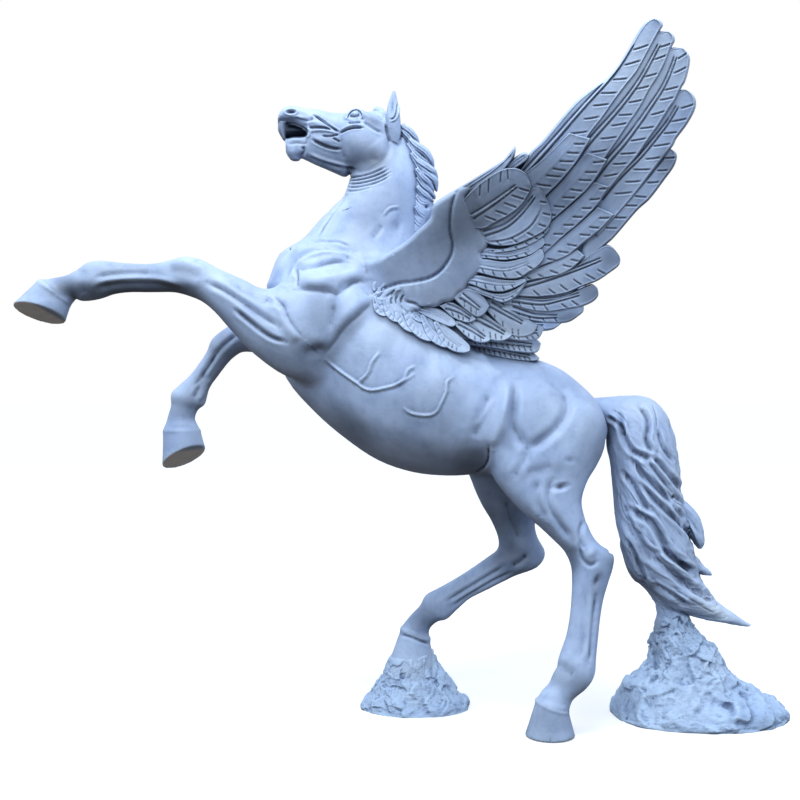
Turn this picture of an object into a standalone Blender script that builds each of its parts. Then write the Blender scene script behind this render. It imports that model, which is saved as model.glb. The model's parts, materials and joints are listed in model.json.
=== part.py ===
"""Rearing pegasus statue, life size: a hollow cast horse standing on its two hind feet and its tail,
with two raised wings, on two rough rocks. One unit of the elevation drawing is 4.5 mm.
The side elevation is drawn in perspective from 1100 units away, with the eye 323 units above the floor,
so a point (u, v) of the drawing at depth y maps to space with point(u, v, y). The horse faces -X."""
import math

import bmesh
import bpy
from mathutils import Matrix, Vector

# ---------------------------------------------------------------- driving dimensions
UNIT = 0.0045            # metres for one drawing unit
EYE = 1100.0             # eye distance of the elevation drawing, in units
FLOOR = -323.0           # height of the floor under the eye, in units
PLAN_X = 15.0            # plan centre of the statue, in units
WING_ROOT_Y = -46.0      # depth of the wing root line, near side
WING_LEAN = 0.45         # how far the wing leans out for each unit of height
WING_CURVE = 0.0003      # how the lean eases off towards the tip
HORSE_VOXEL = 0.0125
WING_VOXEL = 0.0085
ROCK_VOXEL = 0.014
GAP = 0.0006             # clearance between touching castings
HORSE_FACES = 8200
WING_FACES = 2300
ROCK_FACES = 900

for old in list(bpy.data.objects):
    bpy.data.objects.remove(old, do_unlink=True)


def point(u, v, y):
    k = (EYE + y) / EYE
    return Vector((((u - 400) * k - PLAN_X) * UNIT, y * UNIT, ((400 - v) * k - FLOOR) * UNIT))


# ---------------------------------------------------------------- the horse, as stations along each limb
# A station is a chord across the limb: (u, v) of its upper or front edge, (u, v) of its lower or rear edge,
# the depth y of its middle, and the half width across.
TRUNK = [
    (330, 226, 266, 296, 0, 30), (366, 231, 270, 334, 0, 50), (400, 243, 287, 376, 0, 60),
    (418, 268, 315, 409, 0, 64), (436, 297, 345, 436, 0, 67), (456, 326, 378, 459, 0, 69),
    (480, 347, 413, 471.5, 0, 69), (507, 354, 448, 475, 0, 67), (533, 358.5, 480, 473, 0, 66),
    (558, 368.5, 510, 474, 0, 64), (580, 383.5, 545, 476, 0, 58), (597, 401, 578, 466, 0, 46),
    (604, 420, 599, 446, 0, 25),
]
NECK = [
    (271, 285, 440, 285, 0, 48), (280, 255, 424, 255, 0, 43), (303, 242, 415, 225, 0, 36),
    (325, 219, 414, 196, 0, 30), (344, 199, 412, 172, 0, 26), (348, 184, 407, 149, 0, 23),
    (352, 168, 399, 130, 0, 20),
]
SKULL = [
    (398, 128, 388, 158, 0, 14), (384, 114, 378, 169, 0, 21), (362, 109.5, 363, 173, 0, 24),
    (347, 113.5, 347, 168, 0, 21), (332, 112.5, 330, 162, 0, 17), (318, 111.5, 314, 158, 0, 15),
    (308, 110, 305, 148, 0, 13.5),
]
MUZZLE = [
    (318, 112, 316, 136, 0, 14), (308, 110, 306, 131, 0, 13.5), (300, 108.3, 298, 126.5, 0, 13.5), (290, 107.6, 288, 124, 0, 13.5),
    (283, 111.5, 280, 123.5, 0, 11),
]
JAW = [
    (346, 150, 345, 175, 0, 12), (336, 147, 334, 170.5, 0, 13.5), (322, 142, 322, 165, 0, 14), (308, 138, 309, 159.5, 0, 11.5), (297, 138, 300, 160, 0, 11),
    (289, 139.5, 292, 158, 0, 10), (285, 143, 286.5, 151, 0, 7.5),
]
EAR = [
    (389, 132, 401, 138, -11, 6), (387.5, 115, 400.5, 120, -13, 6), (390, 103, 399, 105, -14, 4), (393.3, 93, 396.3, 94, -14.5, 2.2),
]
NEAR_SHOULDER = [
    (300, 262, 330, 372, -30, 30), (283, 282, 316, 374, -40, 28), (272, 287, 283, 372, -45, 26),
]
NEAR_FORELEG = [
    (283, 290, 300, 378, -44, 27), (263, 288, 252, 350, -46, 24), (247, 281.5, 231, 329, -47, 21), (234, 275.5, 215, 311.5, -48, 17.5),
    (219, 267.5, 202, 301.5, -48, 15.5), (204, 258.5, 188.5, 295, -48, 16.5), (188, 256.5, 178, 292, -48, 16.5),
    (171, 260, 166, 291.8, -48, 14), (150, 264, 148, 291.4, -48, 11.5), (130, 263.5, 129, 291.4, -48, 11.5),
    (114, 262, 114, 293, -48, 12.5), (101, 260.5, 103, 296.5, -48, 14), (89, 262.5, 92, 299.5, -48, 14.5),
    (80, 268, 82, 300.5, -48, 13.5), (70, 274.5, 75, 299, -48, 12.5), (58, 277.5, 71.5, 302, -48, 13.5), (44, 280, 70.5, 304, -48, 17),
]
FAR_SHOULDER = [
    (306, 258, 338, 366, 28, 28), (290, 275, 322, 368, 38, 27), (276, 285, 300, 366, 44, 25),
]
FAR_FORELEG = [
    (292, 290, 302, 366, 44, 27), (268, 300, 280, 358, 46, 23), (248, 314, 258, 353, 47, 18), (228, 326.5, 243, 352, 48, 15.5),
    (212.5, 339, 234, 357, 48, 15), (207, 352, 227, 364, 48, 13), (199, 365, 217.5, 376.5, 48, 11.5),
    (190, 376, 209.5, 388, 48, 11.5), (179, 386, 206.5, 397, 48, 13.5), (172.5, 393.5, 203.5, 404.5, 48, 14), (171.5, 405, 197, 410, 48, 12.5),
    (169, 417, 194, 419, 48, 12.5), (164, 430, 199, 430, 48, 17),
]
NEAR_THIGH = [
    (520, 385, 596, 398, -30, 30), (500, 415, 605, 424, -32, 33), (489, 444, 604, 447, -33, 35), (489.5, 461, 597, 464, -34, 34),
    (495, 478, 586, 481, -36, 31), (507, 495, 580.5, 499, -39, 28), (522, 511, 583, 514, -41, 24), (538, 525.5, 588.5, 530, -42, 19.5),
    (553, 539.5, 597, 543, -42, 16.5), (564.5, 551.5, 611.5, 553.5, -42, 15), (570.5, 566, 612.5, 566, -42, 14.5),
    (572, 581, 607.5, 581, -42, 13.5), (571.5, 598, 602.5, 598, -42, 12), (570, 615, 599.3, 616, -42, 11.5), (566.5, 635, 597, 636, -42, 11.5),
    (560, 654, 595.8, 656, -42, 13), (555, 670, 594.5, 674, -42, 15), (549.5, 683, 587, 687, -42, 14), (542, 692.5, 574, 700, -42, 14), (536, 703, 568.5, 713, -42, 18.5),
]
FAR_THIGH = [
    (520, 390, 590, 404, 30, 30), (490, 430, 590, 436, 34, 33), (470, 462, 575, 465, 38, 32), (473, 482, 556, 486, 42, 29),
    (482, 504, 540, 506, 46, 25), (491, 520, 534, 522, 49, 20), (498, 537, 536, 536, 51, 16.5), (497.5, 549, 544.5, 553, 52, 15),
    (488, 558, 536, 566.5, 52, 14.5), (476, 566.5, 513, 576, 52, 12.5), (459, 577.5, 488.5, 588, 52, 11.5), (441, 587.5, 466, 600, 52, 11.5),
    (427, 595, 447, 617.5, 52, 13.5), (420.5, 605.5, 437, 620, 52, 13.5), (411, 615, 429, 627.5, 52, 13), (402.5, 626, 428.5, 637, 52, 17),
]
TAIL = [
    (592, 398, 600, 424, 0, 13), (618, 396.5, 606, 432, 0, 17), (640, 396, 607, 448, 0, 23), (658, 404, 610.5, 463, 0, 28),
    (672, 427, 612, 477, 1, 31), (678.5, 455, 613, 492, 2, 32), (681, 482, 615.5, 514, 3, 32), (687, 509, 619, 533, 4, 32),
    (694, 534, 624, 553, 5, 31), (697, 556, 629, 573, 6, 30), (702, 579, 645, 588, 8, 27), (713, 596, 662, 604, 9, 22),
    (723, 606, 684, 613.5, 10, 16), (736, 615, 706, 620, 10, 10), (747.5, 623, 742, 626, 10, 3),
]
TAIL_PROP = [(650, 585, 674, 580, 12, 14), (653, 600, 680, 598, 14, 13), (656, 612, 683, 612, 16, 13), (654, 630, 686, 630, 18, 15)]
MANE = [
    (404, 122, 396, 142, 0, 6), (418, 140, 402, 158, 0, 9), (431, 160, 408, 172, 0, 12), (437.5, 180, 408, 186, 0, 15),
    (436, 198, 406, 202, 0, 17), (431, 214, 402, 222, 0, 18), (424, 236, 400, 246, 0, 16),
]
# hooves: the coronet chord and the sole chord, each with y, half width and how far the near side is lifted
HOOVES = {
    "near_fore": ((38, 281, 70.5, 305, -48, 19, 0), (14.5, 307.5, 64.5, 320.5, -48, 23, 0.28)),
    "far_fore": ((163, 431, 200.5, 430, 48, 18.5, 0), (165, 466.5, 204, 446.5, 48, 22, 0.35)),
    "near_hind": ((536, 703, 568.5, 714, -42, 19, 0), (525.5, 736.5, 574.5, 736.5, -42, 24, 0)),
    "far_hind": ((401.5, 628, 430, 638, 52, 18, 0), (388, 668, 433, 664, 52, 22, 0)),
}


def smooth_stations(rows, steps):
    """Catmull-Rom points between stations, each row a tuple of vectors."""
    made, n = [], len(rows)
    for i in range(n - 1):
        p0, p1, p2, p3 = rows[max(i - 1, 0)], rows[i], rows[i + 1], rows[min(i + 2, n - 1)]
        for s in range(steps):
            t = s / steps
            made.append(tuple(
                0.5 * ((2 * b) + (c - a) * t + (2 * a - 5 * b + 4 * c - d) * t * t + (3 * b - a - 3 * c + d) * t ** 3)
                for a, b, c, d in zip(p0, p1, p2, p3)))
    made.append(rows[-1])
    return made


def frames(stations):
    """(centre, half chord, half width vector) of each chord station."""
    rows = []
    for st in stations:
        ua, va, ub, vb, y, w = st[:6]
        lift = st[6] if len(st) > 6 else 0.0
        a, b = point(ua, va, y), point(ub, vb, y)
        e1 = (a - b) / 2
        across = Vector((0, 1, 0))
        if lift:
            t = e1.normalized().cross(across)
            across = (across + t * lift * (1 if t.z < 0 else -1)).normalized()
        rows.append(((a + b) / 2, e1, across * w * UNIT))
    return rows


def loft(mesh, rows, sides=20, steps=3, round_ends=True):
    """Adds a closed skin through the rows' ellipses to a bmesh."""
    rows = smooth_stations(rows, steps) if len(rows) > 2 else rows
    if round_ends:
        head, tail = rows[0], rows[-1]
        lead = (head[0] - rows[1][0]).normalized() * min(head[1].length, head[2].length) * 0.5
        trail = (tail[0] - rows[-2][0]).normalized() * min(tail[1].length, tail[2].length) * 0.5
        rows = [(head[0] + lead, head[1] * 0.45, head[2] * 0.45), (head[0] + lead * 0.7, head[1] * 0.75, head[2] * 0.75), *rows,
                (tail[0] + trail * 0.7, tail[1] * 0.75, tail[2] * 0.75), (tail[0] + trail, tail[1] * 0.45, tail[2] * 0.45)]
    rings = []
    for c, e1, e2 in rows:
        rings.append([mesh.verts.new(c + e1 * math.cos(2 * math.pi * k / sides) + e2 * math.sin(2 * math.pi * k / sides)) for k in range(sides)])
    faces = []
    for r0, r1 in zip(rings, rings[1:]):
        for k in range(sides):
            faces.append(mesh.faces.new((r0[k], r0[(k + 1) % sides], r1[(k + 1) % sides], r1[k])))
    faces.append(mesh.faces.new(list(reversed(rings[0]))))
    faces.append(mesh.faces.new(rings[-1]))
    bmesh.ops.recalc_face_normals(mesh, faces=faces)


def material(name, colour, roughness):
    made = bpy.data.materials.new(name)
    made.use_nodes = True
    shader = made.node_tree.nodes["Principled BSDF"]
    shader.inputs["Base Color"].default_value = (*colour, 1)
    shader.inputs["Roughness"].default_value = roughness
    shader.inputs["Metallic"].default_value = 0.0
    return made


CAST = material("cast_blue_grey", (0.36, 0.43, 0.56), 0.42)
STONE = material("rock_blue_grey", (0.42, 0.50, 0.62), 0.8)


def as_object(name, mesh, voxel, smooth, faces, finish):
    """One skin over everything in the bmesh, eased a little and brought down to a face count."""
    data = bpy.data.meshes.new(name)
    mesh.to_mesh(data)
    mesh.free()
    data.materials.append(finish)
    obj = bpy.data.objects.new(name, data)
    bpy.context.scene.collection.objects.link(obj)
    remesh = obj.modifiers.new("skin", "REMESH")
    remesh.mode = "VOXEL"
    remesh.voxel_size = voxel
    remesh.use_smooth_shade = True
    ease = obj.modifiers.new("ease", "SMOOTH")
    ease.factor = 0.5
    ease.iterations = smooth
    graph = bpy.context.evaluated_depsgraph_get()
    made = bpy.data.meshes.new_from_object(obj.evaluated_get(graph))
    obj.modifiers.clear()
    obj.data = made
    made.calc_loop_triangles()
    thin = obj.modifiers.new("thin", "DECIMATE")
    thin.ratio = min(1.0, faces / max(1, len(made.loop_triangles)))
    thin.use_collapse_triangulate = True
    graph = bpy.context.evaluated_depsgraph_get()
    done = bpy.data.meshes.new_from_object(obj.evaluated_get(graph))
    obj.modifiers.clear()
    obj.data = done
    if not done.materials:
        done.materials.append(finish)
    done.shade_smooth()
    return obj


def flat_on_floor(obj, up_to=0.0):
    """Brings what dips under the floor up to it, so that soles and rock bases stand flat."""
    for vert in obj.data.vertices:
        if vert.co.z < up_to:
            vert.co.z = up_to


# ---------------------------------------------------------------- horse
horse_mesh = bmesh.new()
for limb in (TRUNK, NECK, SKULL, MUZZLE, JAW, EAR, NEAR_SHOULDER, NEAR_FORELEG, FAR_SHOULDER, FAR_FORELEG,
             NEAR_THIGH, FAR_THIGH, TAIL, TAIL_PROP, MANE):
    loft(horse_mesh, frames(limb))
loft(horse_mesh, frames([(s[0], s[1], s[2], s[3], -s[4], s[5]) for s in EAR]))
for coronet, sole in HOOVES.values():
    top, bottom = frames([coronet])[0], frames([sole])[0]
    loft(horse_mesh, [top, bottom], sides=28, round_ends=False)
    loft(horse_mesh, [(top[0] + (top[0] - bottom[0]) * 0.12, top[1] * 0.9, top[2] * 0.9), (top[0], top[1] * 1.04, top[2] * 1.04),
                      (top[0] + (bottom[0] - top[0]) * 0.12, top[1], top[2])], sides=24, round_ends=False)
horse = as_object("horse", horse_mesh, HORSE_VOXEL, 3, HORSE_FACES, CAST)
flat_on_floor(horse, 0.003)
sole_plane = bmesh.new()
sole_plane.from_mesh(horse.data)
for vert in sole_plane.verts:
    if vert.co.z < 0.016:
        vert.co.z = 0.0
sole_plane.to_mesh(horse.data)
sole_plane.free()

# ---------------------------------------------------------------- wings
ROOT_U, ROOT_V, ALONG, UPWARD = 375.0, 290.0, (0.951, 0.308), (0.308, -0.951)


def wing_depth(u, v):
    h = max(0.0, (u - ROOT_U) * UPWARD[0] + (v - ROOT_V) * UPWARD[1])
    return WING_ROOT_Y - WING_LEAN * h + WING_CURVE * h * h


# each feather: its shaft from root to tip, the half width at each point and the half thickness
FEATHERS = {
    "long_1": ([(520, 190), (564, 148), (604, 106), (633, 66), (656, 27)], [12, 17, 16, 13, 6], 5.5),
    "long_2": ([(530, 205), (575, 160), (615, 120), (645, 80), (670, 38)], [12, 15, 15, 13, 6], 5.5),
    "long_3": ([(535, 220), (590, 172), (632, 130), (665, 92), (686, 55)], [12, 15, 15, 13, 7], 5.5),
    "long_4": ([(540, 235), (590, 196), (637, 158), (674, 126), (693, 98)], [12, 15, 16, 14, 8], 5.5),
    "long_5": ([(540, 250), (588, 224), (625, 199), (655, 174), (674, 158)], [12, 14, 15, 13, 6], 5.5),
    "low_6": ([(515, 283), (545, 280), (575, 270), (600, 262), (617, 258)], [10, 13, 14, 13, 7], 5.5),
    "low_7": ([(505, 296), (535, 301), (560, 298), (580, 294), (594, 291)], [8, 9, 11, 11, 7], 5.5),
    "low_8": ([(500, 304), (525, 312), (545, 316), (565, 314), (578, 310)], [7, 8, 9, 9, 5], 5.5),
    "covert_a": ([(465, 205), (500, 190), (522, 180)], [14, 20, 12], 8),
    "covert_b": ([(475, 235), (510, 222), (545, 205)], [14, 20, 12], 8),
    "covert_c": ([(475, 262), (510, 258), (540, 250)], [14, 18, 12], 8),
    "covert_d": ([(465, 285), (495, 285), (522, 283)], [12, 14, 9], 8),
    "covert_e": ([(520, 180), (560, 160), (590, 152)], [14, 20, 20], 6.5),
    "covert_f": ([(530, 215), (570, 200), (606, 190)], [20, 22, 18], 6.5),
    "covert_g": ([(530, 250), (565, 238), (600, 222)], [20, 20, 12], 6.5),
    "covert_h": ([(500, 270), (540, 268), (578, 258)], [14, 12, 7], 6.5),
    "tertial_1": ([(455, 290), (495, 308), (533, 327)], [12, 11, 5], 6),
    "tertial_3": ([(455, 312), (495, 336), (534, 350)], [11, 11, 6], 6),
    "tertial_2": ([(440, 300), (480, 322), (508, 336)], [12, 11, 5], 6),
}
# the fleshy arm of the wing, as chords from its leading edge down to its lower edge
ARM = [
    (372, 258, 392, 306, -40, 16), (392, 247, 420, 314, -52, 16), (414, 229, 446, 308, -66, 15), (430, 204, 470, 292, -78, 13.5),
    (450, 188, 484, 262, -88, 11), (478, 178, 492, 232, -100, 8.5), (506, 160, 520, 205, -114, 7), (530, 151, 545, 180, -124, 6),
]
ROOT_PAD = [(372, 270, 392, 318, -30, 20), (400, 280, 420, 325, -30, 22), (430, 300, 450, 335, -30, 22), (460, 318, 476, 342, -28, 20)]


def feather_rows(shaft, widths, thick):
    """Stations of a flat blade lying on the wing's leaning surface."""
    pts = [point(u, v, wing_depth(u, v)) for u, v in shaft]
    flat = (point(500, 200, wing_depth(500, 200)) - point(500, 260, wing_depth(500, 260))).cross(
        point(560, 230, wing_depth(560, 230)) - point(480, 230, wing_depth(480, 230))).normalized()
    rows = []
    for i, (p, w) in enumerate(zip(pts, widths)):
        run = (pts[min(i + 1, len(pts) - 1)] - pts[max(i - 1, 0)]).normalized()
        rows.append((p, run.cross(flat).normalized() * w * UNIT, flat * thick * UNIT))
    return rows


wing_mesh = bmesh.new()
for shaft, widths, thick in FEATHERS.values():
    loft(wing_mesh, feather_rows(shaft, widths, thick), sides=12)
loft(wing_mesh, frames(ARM), sides=18)
loft(wing_mesh, frames(ROOT_PAD), sides=18)
right = wing_mesh.copy()
bmesh.ops.transform(right, matrix=Matrix.Scale(-1, 4, Vector((0, 1, 0))), verts=right.verts)
bmesh.ops.reverse_faces(right, faces=right.faces)
wing_left = as_object("wing_left", wing_mesh, WING_VOXEL, 2, WING_FACES, CAST)
wing_right = as_object("wing_right", right, WING_VOXEL, 2, WING_FACES, CAST)

# ---------------------------------------------------------------- rocks
# rings from the floor up: height in units, plan centre x and y, half length and half depth
HOOF_ROCK = [(0, 16.7, 60, 57.5, 43), (5, 16.5, 60, 55, 42), (12, 16, 60, 49, 38), (30, 14.5, 58, 36, 31), (41, 10.5, 56, 28, 27), (52, 10, 54, 24, 24), (57, 9, 54, 20, 20)]
TAIL_ROCK = [(0, 307, 34, 89, 71), (8, 307, 34, 90, 71), (22, 304, 33, 78, 62), (34, 296, 31, 61, 50), (50, 297, 29, 42, 40), (61, 291, 26, 34, 32), (83, 281, 22, 21.5, 25), (103, 278, 19, 14, 18), (112, 278, 18, 11, 15)]


def rock(name, rings, seed):
    mesh = bmesh.new()
    sides, loops = 26, []
    for level, (z, cx, cy, a, b) in enumerate(rings):
        loop = []
        for k in range(sides):
            t = 2 * math.pi * k / sides
            rough = 1 + 0.05 * math.sin(3 * t + seed) + 0.035 * math.sin(5 * t + 2 * seed + level) + 0.02 * math.sin(9 * t + 5 * level)
            loop.append(mesh.verts.new(((cx + a * rough * math.cos(t) - PLAN_X) * UNIT, (cy + b * rough * math.sin(t)) * UNIT, z * UNIT)))
        loops.append(loop)
    for r0, r1 in zip(loops, loops[1:]):
        for k in range(sides):
            mesh.faces.new((r0[k], r0[(k + 1) % sides], r1[(k + 1) % sides], r1[k]))
    mesh.faces.new(list(reversed(loops[0])))
    mesh.faces.new(loops[-1])
    bmesh.ops.recalc_face_normals(mesh, faces=mesh.faces)
    obj = as_object(name, mesh, ROCK_VOXEL, 1, ROCK_FACES, STONE)
    for vert in obj.data.vertices:
        if vert.co.z < 0.012:
            vert.co.z = 0.0
    return obj


rock_under_hoof = rock("rock_under_hoof", HOOF_ROCK, 0.7)
rock_under_tail = rock("rock_under_tail", TAIL_ROCK, 2.1)

# ---------------------------------------------------------------- clearances
# the horse, a little swollen, cuts its seat into each wing root and each rock
cutter = bpy.data.objects.new("horse_cutter", horse.data.copy())
bpy.context.scene.collection.objects.link(cutter)
cutter.hide_render = True
cutter.display_type = "WIRE"
normals = [v.normal.copy() for v in cutter.data.vertices]
for vert, normal in zip(cutter.data.vertices, normals):
    vert.co += normal * GAP
for piece in (wing_left, wing_right, rock_under_hoof, rock_under_tail):
    cut = piece.modifiers.new("seat", "BOOLEAN")
    cut.operation = "DIFFERENCE"
    cut.object = cutter
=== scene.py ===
import json
import math

import bpy
import bmesh
import numpy as np
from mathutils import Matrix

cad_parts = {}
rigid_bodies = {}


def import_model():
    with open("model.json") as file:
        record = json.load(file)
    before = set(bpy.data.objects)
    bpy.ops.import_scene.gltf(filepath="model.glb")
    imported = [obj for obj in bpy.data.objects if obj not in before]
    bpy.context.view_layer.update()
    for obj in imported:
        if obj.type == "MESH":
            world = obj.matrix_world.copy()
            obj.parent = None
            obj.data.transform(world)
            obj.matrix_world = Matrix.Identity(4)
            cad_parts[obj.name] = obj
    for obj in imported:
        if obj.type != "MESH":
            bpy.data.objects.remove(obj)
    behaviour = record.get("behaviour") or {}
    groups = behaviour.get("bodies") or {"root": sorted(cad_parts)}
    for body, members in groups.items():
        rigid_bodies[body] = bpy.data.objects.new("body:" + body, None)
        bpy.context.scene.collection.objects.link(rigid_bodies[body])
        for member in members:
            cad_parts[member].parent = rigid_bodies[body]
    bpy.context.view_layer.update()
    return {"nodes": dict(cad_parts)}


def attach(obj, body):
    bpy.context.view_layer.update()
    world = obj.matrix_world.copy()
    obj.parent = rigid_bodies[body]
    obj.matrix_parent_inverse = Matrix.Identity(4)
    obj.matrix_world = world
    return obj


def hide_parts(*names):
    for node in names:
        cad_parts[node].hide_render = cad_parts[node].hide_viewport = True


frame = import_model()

import openvdb
from mathutils import Vector

# The statue's elevation drawing: 1 unit = 4.5 mm, drawn in perspective from 1100 units away, the eye 323 units above the floor.
UNIT, EYE, FLOOR, PLAN_X = 0.0045, 1100.0, -323.0, 15.0
CELL = 0.0055          # grid of the cast skin
RNG = np.random.default_rng(11)


def to_space(u, v, y):
    u, v, y = np.asarray(u, float), np.asarray(v, float), np.asarray(y, float)
    k = (EYE + y) / EYE
    return np.stack([((u - 400) * k - PLAN_X) * UNIT, y * UNIT + 0 * u, ((400 - v) * k - FLOOR) * UNIT], -1)


def to_drawing(p, mirror=False):
    """(u, v) of points in space; mirror swaps near and far sides."""
    y = p[:, 1] / UNIT * (-1 if mirror else 1)
    k = (EYE + y) / EYE
    return (p[:, 0] / UNIT + PLAN_X) / k + 400, 400 - (p[:, 2] / UNIT + FLOOR) / k


def smoothstep(a, b, x):
    t = np.clip((x - a) / (b - a), 0, 1)
    return t * t * (3 - 2 * t)


def catmull(rows, steps):
    rows = np.asarray(rows, float)
    n, made = len(rows), []
    for i in range(n - 1):
        p0, p1, p2, p3 = rows[max(i - 1, 0)], rows[i], rows[i + 1], rows[min(i + 2, n - 1)]
        for s in range(steps):
            t = s / steps
            made.append(0.5 * (2 * p1 + (p2 - p0) * t + (2 * p0 - 5 * p1 + 4 * p2 - p3) * t * t + (3 * p1 - p0 - 3 * p2 + p3) * t ** 3))
    made.append(rows[-1])
    return np.array(made)


# ------------------------------------------------------------------ value noise
def _hash(ix, iy, iz, seed):
    h = (ix.astype(np.int64) * 73856093) ^ (iy.astype(np.int64) * 19349663) ^ (iz.astype(np.int64) * 83492791) ^ (seed * 2654435761)
    h = (h ^ (h >> 13)) * 1274126177
    h = h ^ (h >> 16)
    return (h & 0xFFFFFF) / float(0xFFFFFF)


def noise(p, scale, seed=0):
    q = p * scale
    i = np.floor(q).astype(np.int64)
    f = q - i
    f = f * f * (3 - 2 * f)
    out = 0
    for dx in (0, 1):
        for dy in (0, 1):
            for dz in (0, 1):
                w = (f[:, 0] if dx else 1 - f[:, 0]) * (f[:, 1] if dy else 1 - f[:, 1]) * (f[:, 2] if dz else 1 - f[:, 2])
                out = out + w * _hash(i[:, 0] + dx, i[:, 1] + dy, i[:, 2] + dz, seed)
    return out * 2 - 1


def fbm(p, scale, octaves, seed=0, gain=0.5):
    total, amp = 0, 1.0
    for o in range(octaves):
        total = total + amp * noise(p, scale * 2 ** o, seed + o)
        amp *= gain
    return total


# ------------------------------------------------------------------ distance fields
class Limb:
    """A skin through stations. A station is a chord (u, v)-(u, v), a depth, a half width and how far its near side is lifted."""

    def __init__(self, rows, steps=4, blend=0.02, mirror=False, cut=False, power=2.0, flat_end=False, flat_start=False):
        rows = [tuple(r) + (0,) * (7 - len(r)) for r in rows]
        st = []
        for ua, va, ub, vb, y, w, lift in rows:
            a, b = to_space(ua, va, y), to_space(ub, vb, y)
            e = (a - b) / 2
            g = np.array([0, 1.0, 0])
            if lift:
                t = np.cross(e / np.linalg.norm(e), g)
                g = g + t * lift * (1 if t[2] < 0 else -1)
                g /= np.linalg.norm(g)
            row = np.concatenate([(a + b) / 2, e, g * w * UNIT])
            if mirror:
                row[[1, 4, 7]] *= -1
            st.append(row)
        st = np.array(st)
        st = catmull(st, steps) if len(st) > 2 else st
        self.c, e, g = st[:, 0:3], st[:, 3:6], st[:, 6:9]
        self.r, self.w = np.linalg.norm(e, axis=1), np.maximum(np.linalg.norm(g, axis=1), 0.001)
        self.e, self.g = e / self.r[:, None], g / self.w[:, None]
        n = np.cross(self.e, self.g)
        n /= np.linalg.norm(n, axis=1)[:, None]
        run = np.gradient(self.c, axis=0)
        n *= np.sign((n * run).sum(1))[:, None]
        self.n = n
        big = np.maximum(self.r, self.w)[:, None]
        self.low, self.high = (self.c - big).min(0), (self.c + big).max(0)
        self.blend, self.cut, self.p, self.flat_end, self.flat_start = blend, cut, power, flat_end, flat_start

    def __call__(self, p):
        d = np.full(len(p), 1.0)
        m = len(self.c)
        for i in range(m - 1):
            size = max(self.r[i], self.r[i + 1], self.w[i], self.w[i + 1]) + 0.07
            lo = np.minimum(self.c[i], self.c[i + 1]) - size
            hi = np.maximum(self.c[i], self.c[i + 1]) + size
            idx = np.nonzero(((p >= lo) & (p <= hi)).all(1))[0]
            if not len(idx):
                continue
            q = p[idx]
            s0 = (q - self.c[i]) @ self.n[i]
            s1 = (q - self.c[i + 1]) @ self.n[i + 1]
            keep = np.ones(len(q), bool)
            if i > 0:
                keep &= s0 >= -0.002
            if i < m - 2:
                keep &= s1 <= 0.002
            idx, q, s0, s1 = idx[keep], q[keep], s0[keep], s1[keep]
            if not len(idx):
                continue
            gap = s0 - s1
            t = np.clip(s0 / np.where(np.abs(gap) < 1e-9, 1e-9, gap), 0, 1)[:, None]
            c = self.c[i] * (1 - t) + self.c[i + 1] * t
            e = self.e[i] * (1 - t) + self.e[i + 1] * t
            g = self.g[i] * (1 - t) + self.g[i + 1] * t
            r = (self.r[i] * (1 - t) + self.r[i + 1] * t)[:, 0]
            w = (self.w[i] * (1 - t) + self.w[i + 1] * t)[:, 0]
            o = q - c
            x, y = np.abs((o * e).sum(1)), np.abs((o * g).sum(1))
            X, Y = x / r, y / w
            if self.p == 2.0:
                k0 = np.sqrt(X * X + Y * Y)
                k1 = np.sqrt((X / r) ** 2 + (Y / w) ** 2)
                f = np.where(k1 < 1e-6, -np.minimum(r, w), k0 * (k0 - 1) / np.maximum(k1, 1e-9))
            else:
                pw = self.p
                k0 = np.maximum((X ** pw + Y ** pw) ** (1 / pw), 1e-6)
                g1 = np.sqrt(((X / k0) ** (pw - 1) / r) ** 2 + ((Y / k0) ** (pw - 1) / w) ** 2)
                f = (k0 - 1) / np.maximum(g1, 1e-6)
            if i == 0:
                f = self._end(f, -s0, self.flat_start)
            if i == m - 2:
                f = self._end(f, s1, self.flat_end)
            d[idx] = np.minimum(d[idx], f)
        return d

    @staticmethod
    def _end(f, over, flat):
        if flat:
            a, b = f + 0.004, over + 0.004
            return np.minimum(np.maximum(a, b), 0) + np.sqrt(np.maximum(a, 0) ** 2 + np.maximum(b, 0) ** 2) - 0.004
        return np.where(over > 0, np.sqrt(np.maximum(f + over * 0.35, 0) ** 2 + over ** 2) + np.minimum(np.maximum(f, over), 0), f)


class Pad:
    """A flat form with a drawn outline: it lies at depth(u, v) with half thickness thick(u, v)."""

    def __init__(self, outline, depth, thick, blend=0.01, mirror=False, round_over=4.0):
        self.poly = catmull(np.vstack([outline, outline[:1]]), 3)[:-1]
        self.depth, self.thick, self.blend, self.mirror, self.cut, self.round = depth, thick, blend, mirror, False, round_over
        y = depth(self.poly[:, 0], self.poly[:, 1])
        pts = np.concatenate([to_space(self.poly[:, 0], self.poly[:, 1], y - 25), to_space(self.poly[:, 0], self.poly[:, 1], y + 25)])
        if mirror:
            pts[:, 1] *= -1
        self.low, self.high = pts.min(0), pts.max(0)

    def __call__(self, p):
        u, v = to_drawing(p, self.mirror)
        y = p[:, 1] / UNIT * (-1 if self.mirror else 1)
        edge = polygon_distance(u, v, self.poly)
        t = self.thick(u, v)
        slab = np.abs(y - self.depth(u, v)) * 0.9 - t
        r = self.round
        a, b = edge + r, slab + r
        d = np.minimum(np.maximum(a, b), 0) + np.sqrt(np.maximum(a, 0) ** 2 + np.maximum(b, 0) ** 2) - r
        return d * UNIT


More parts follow.
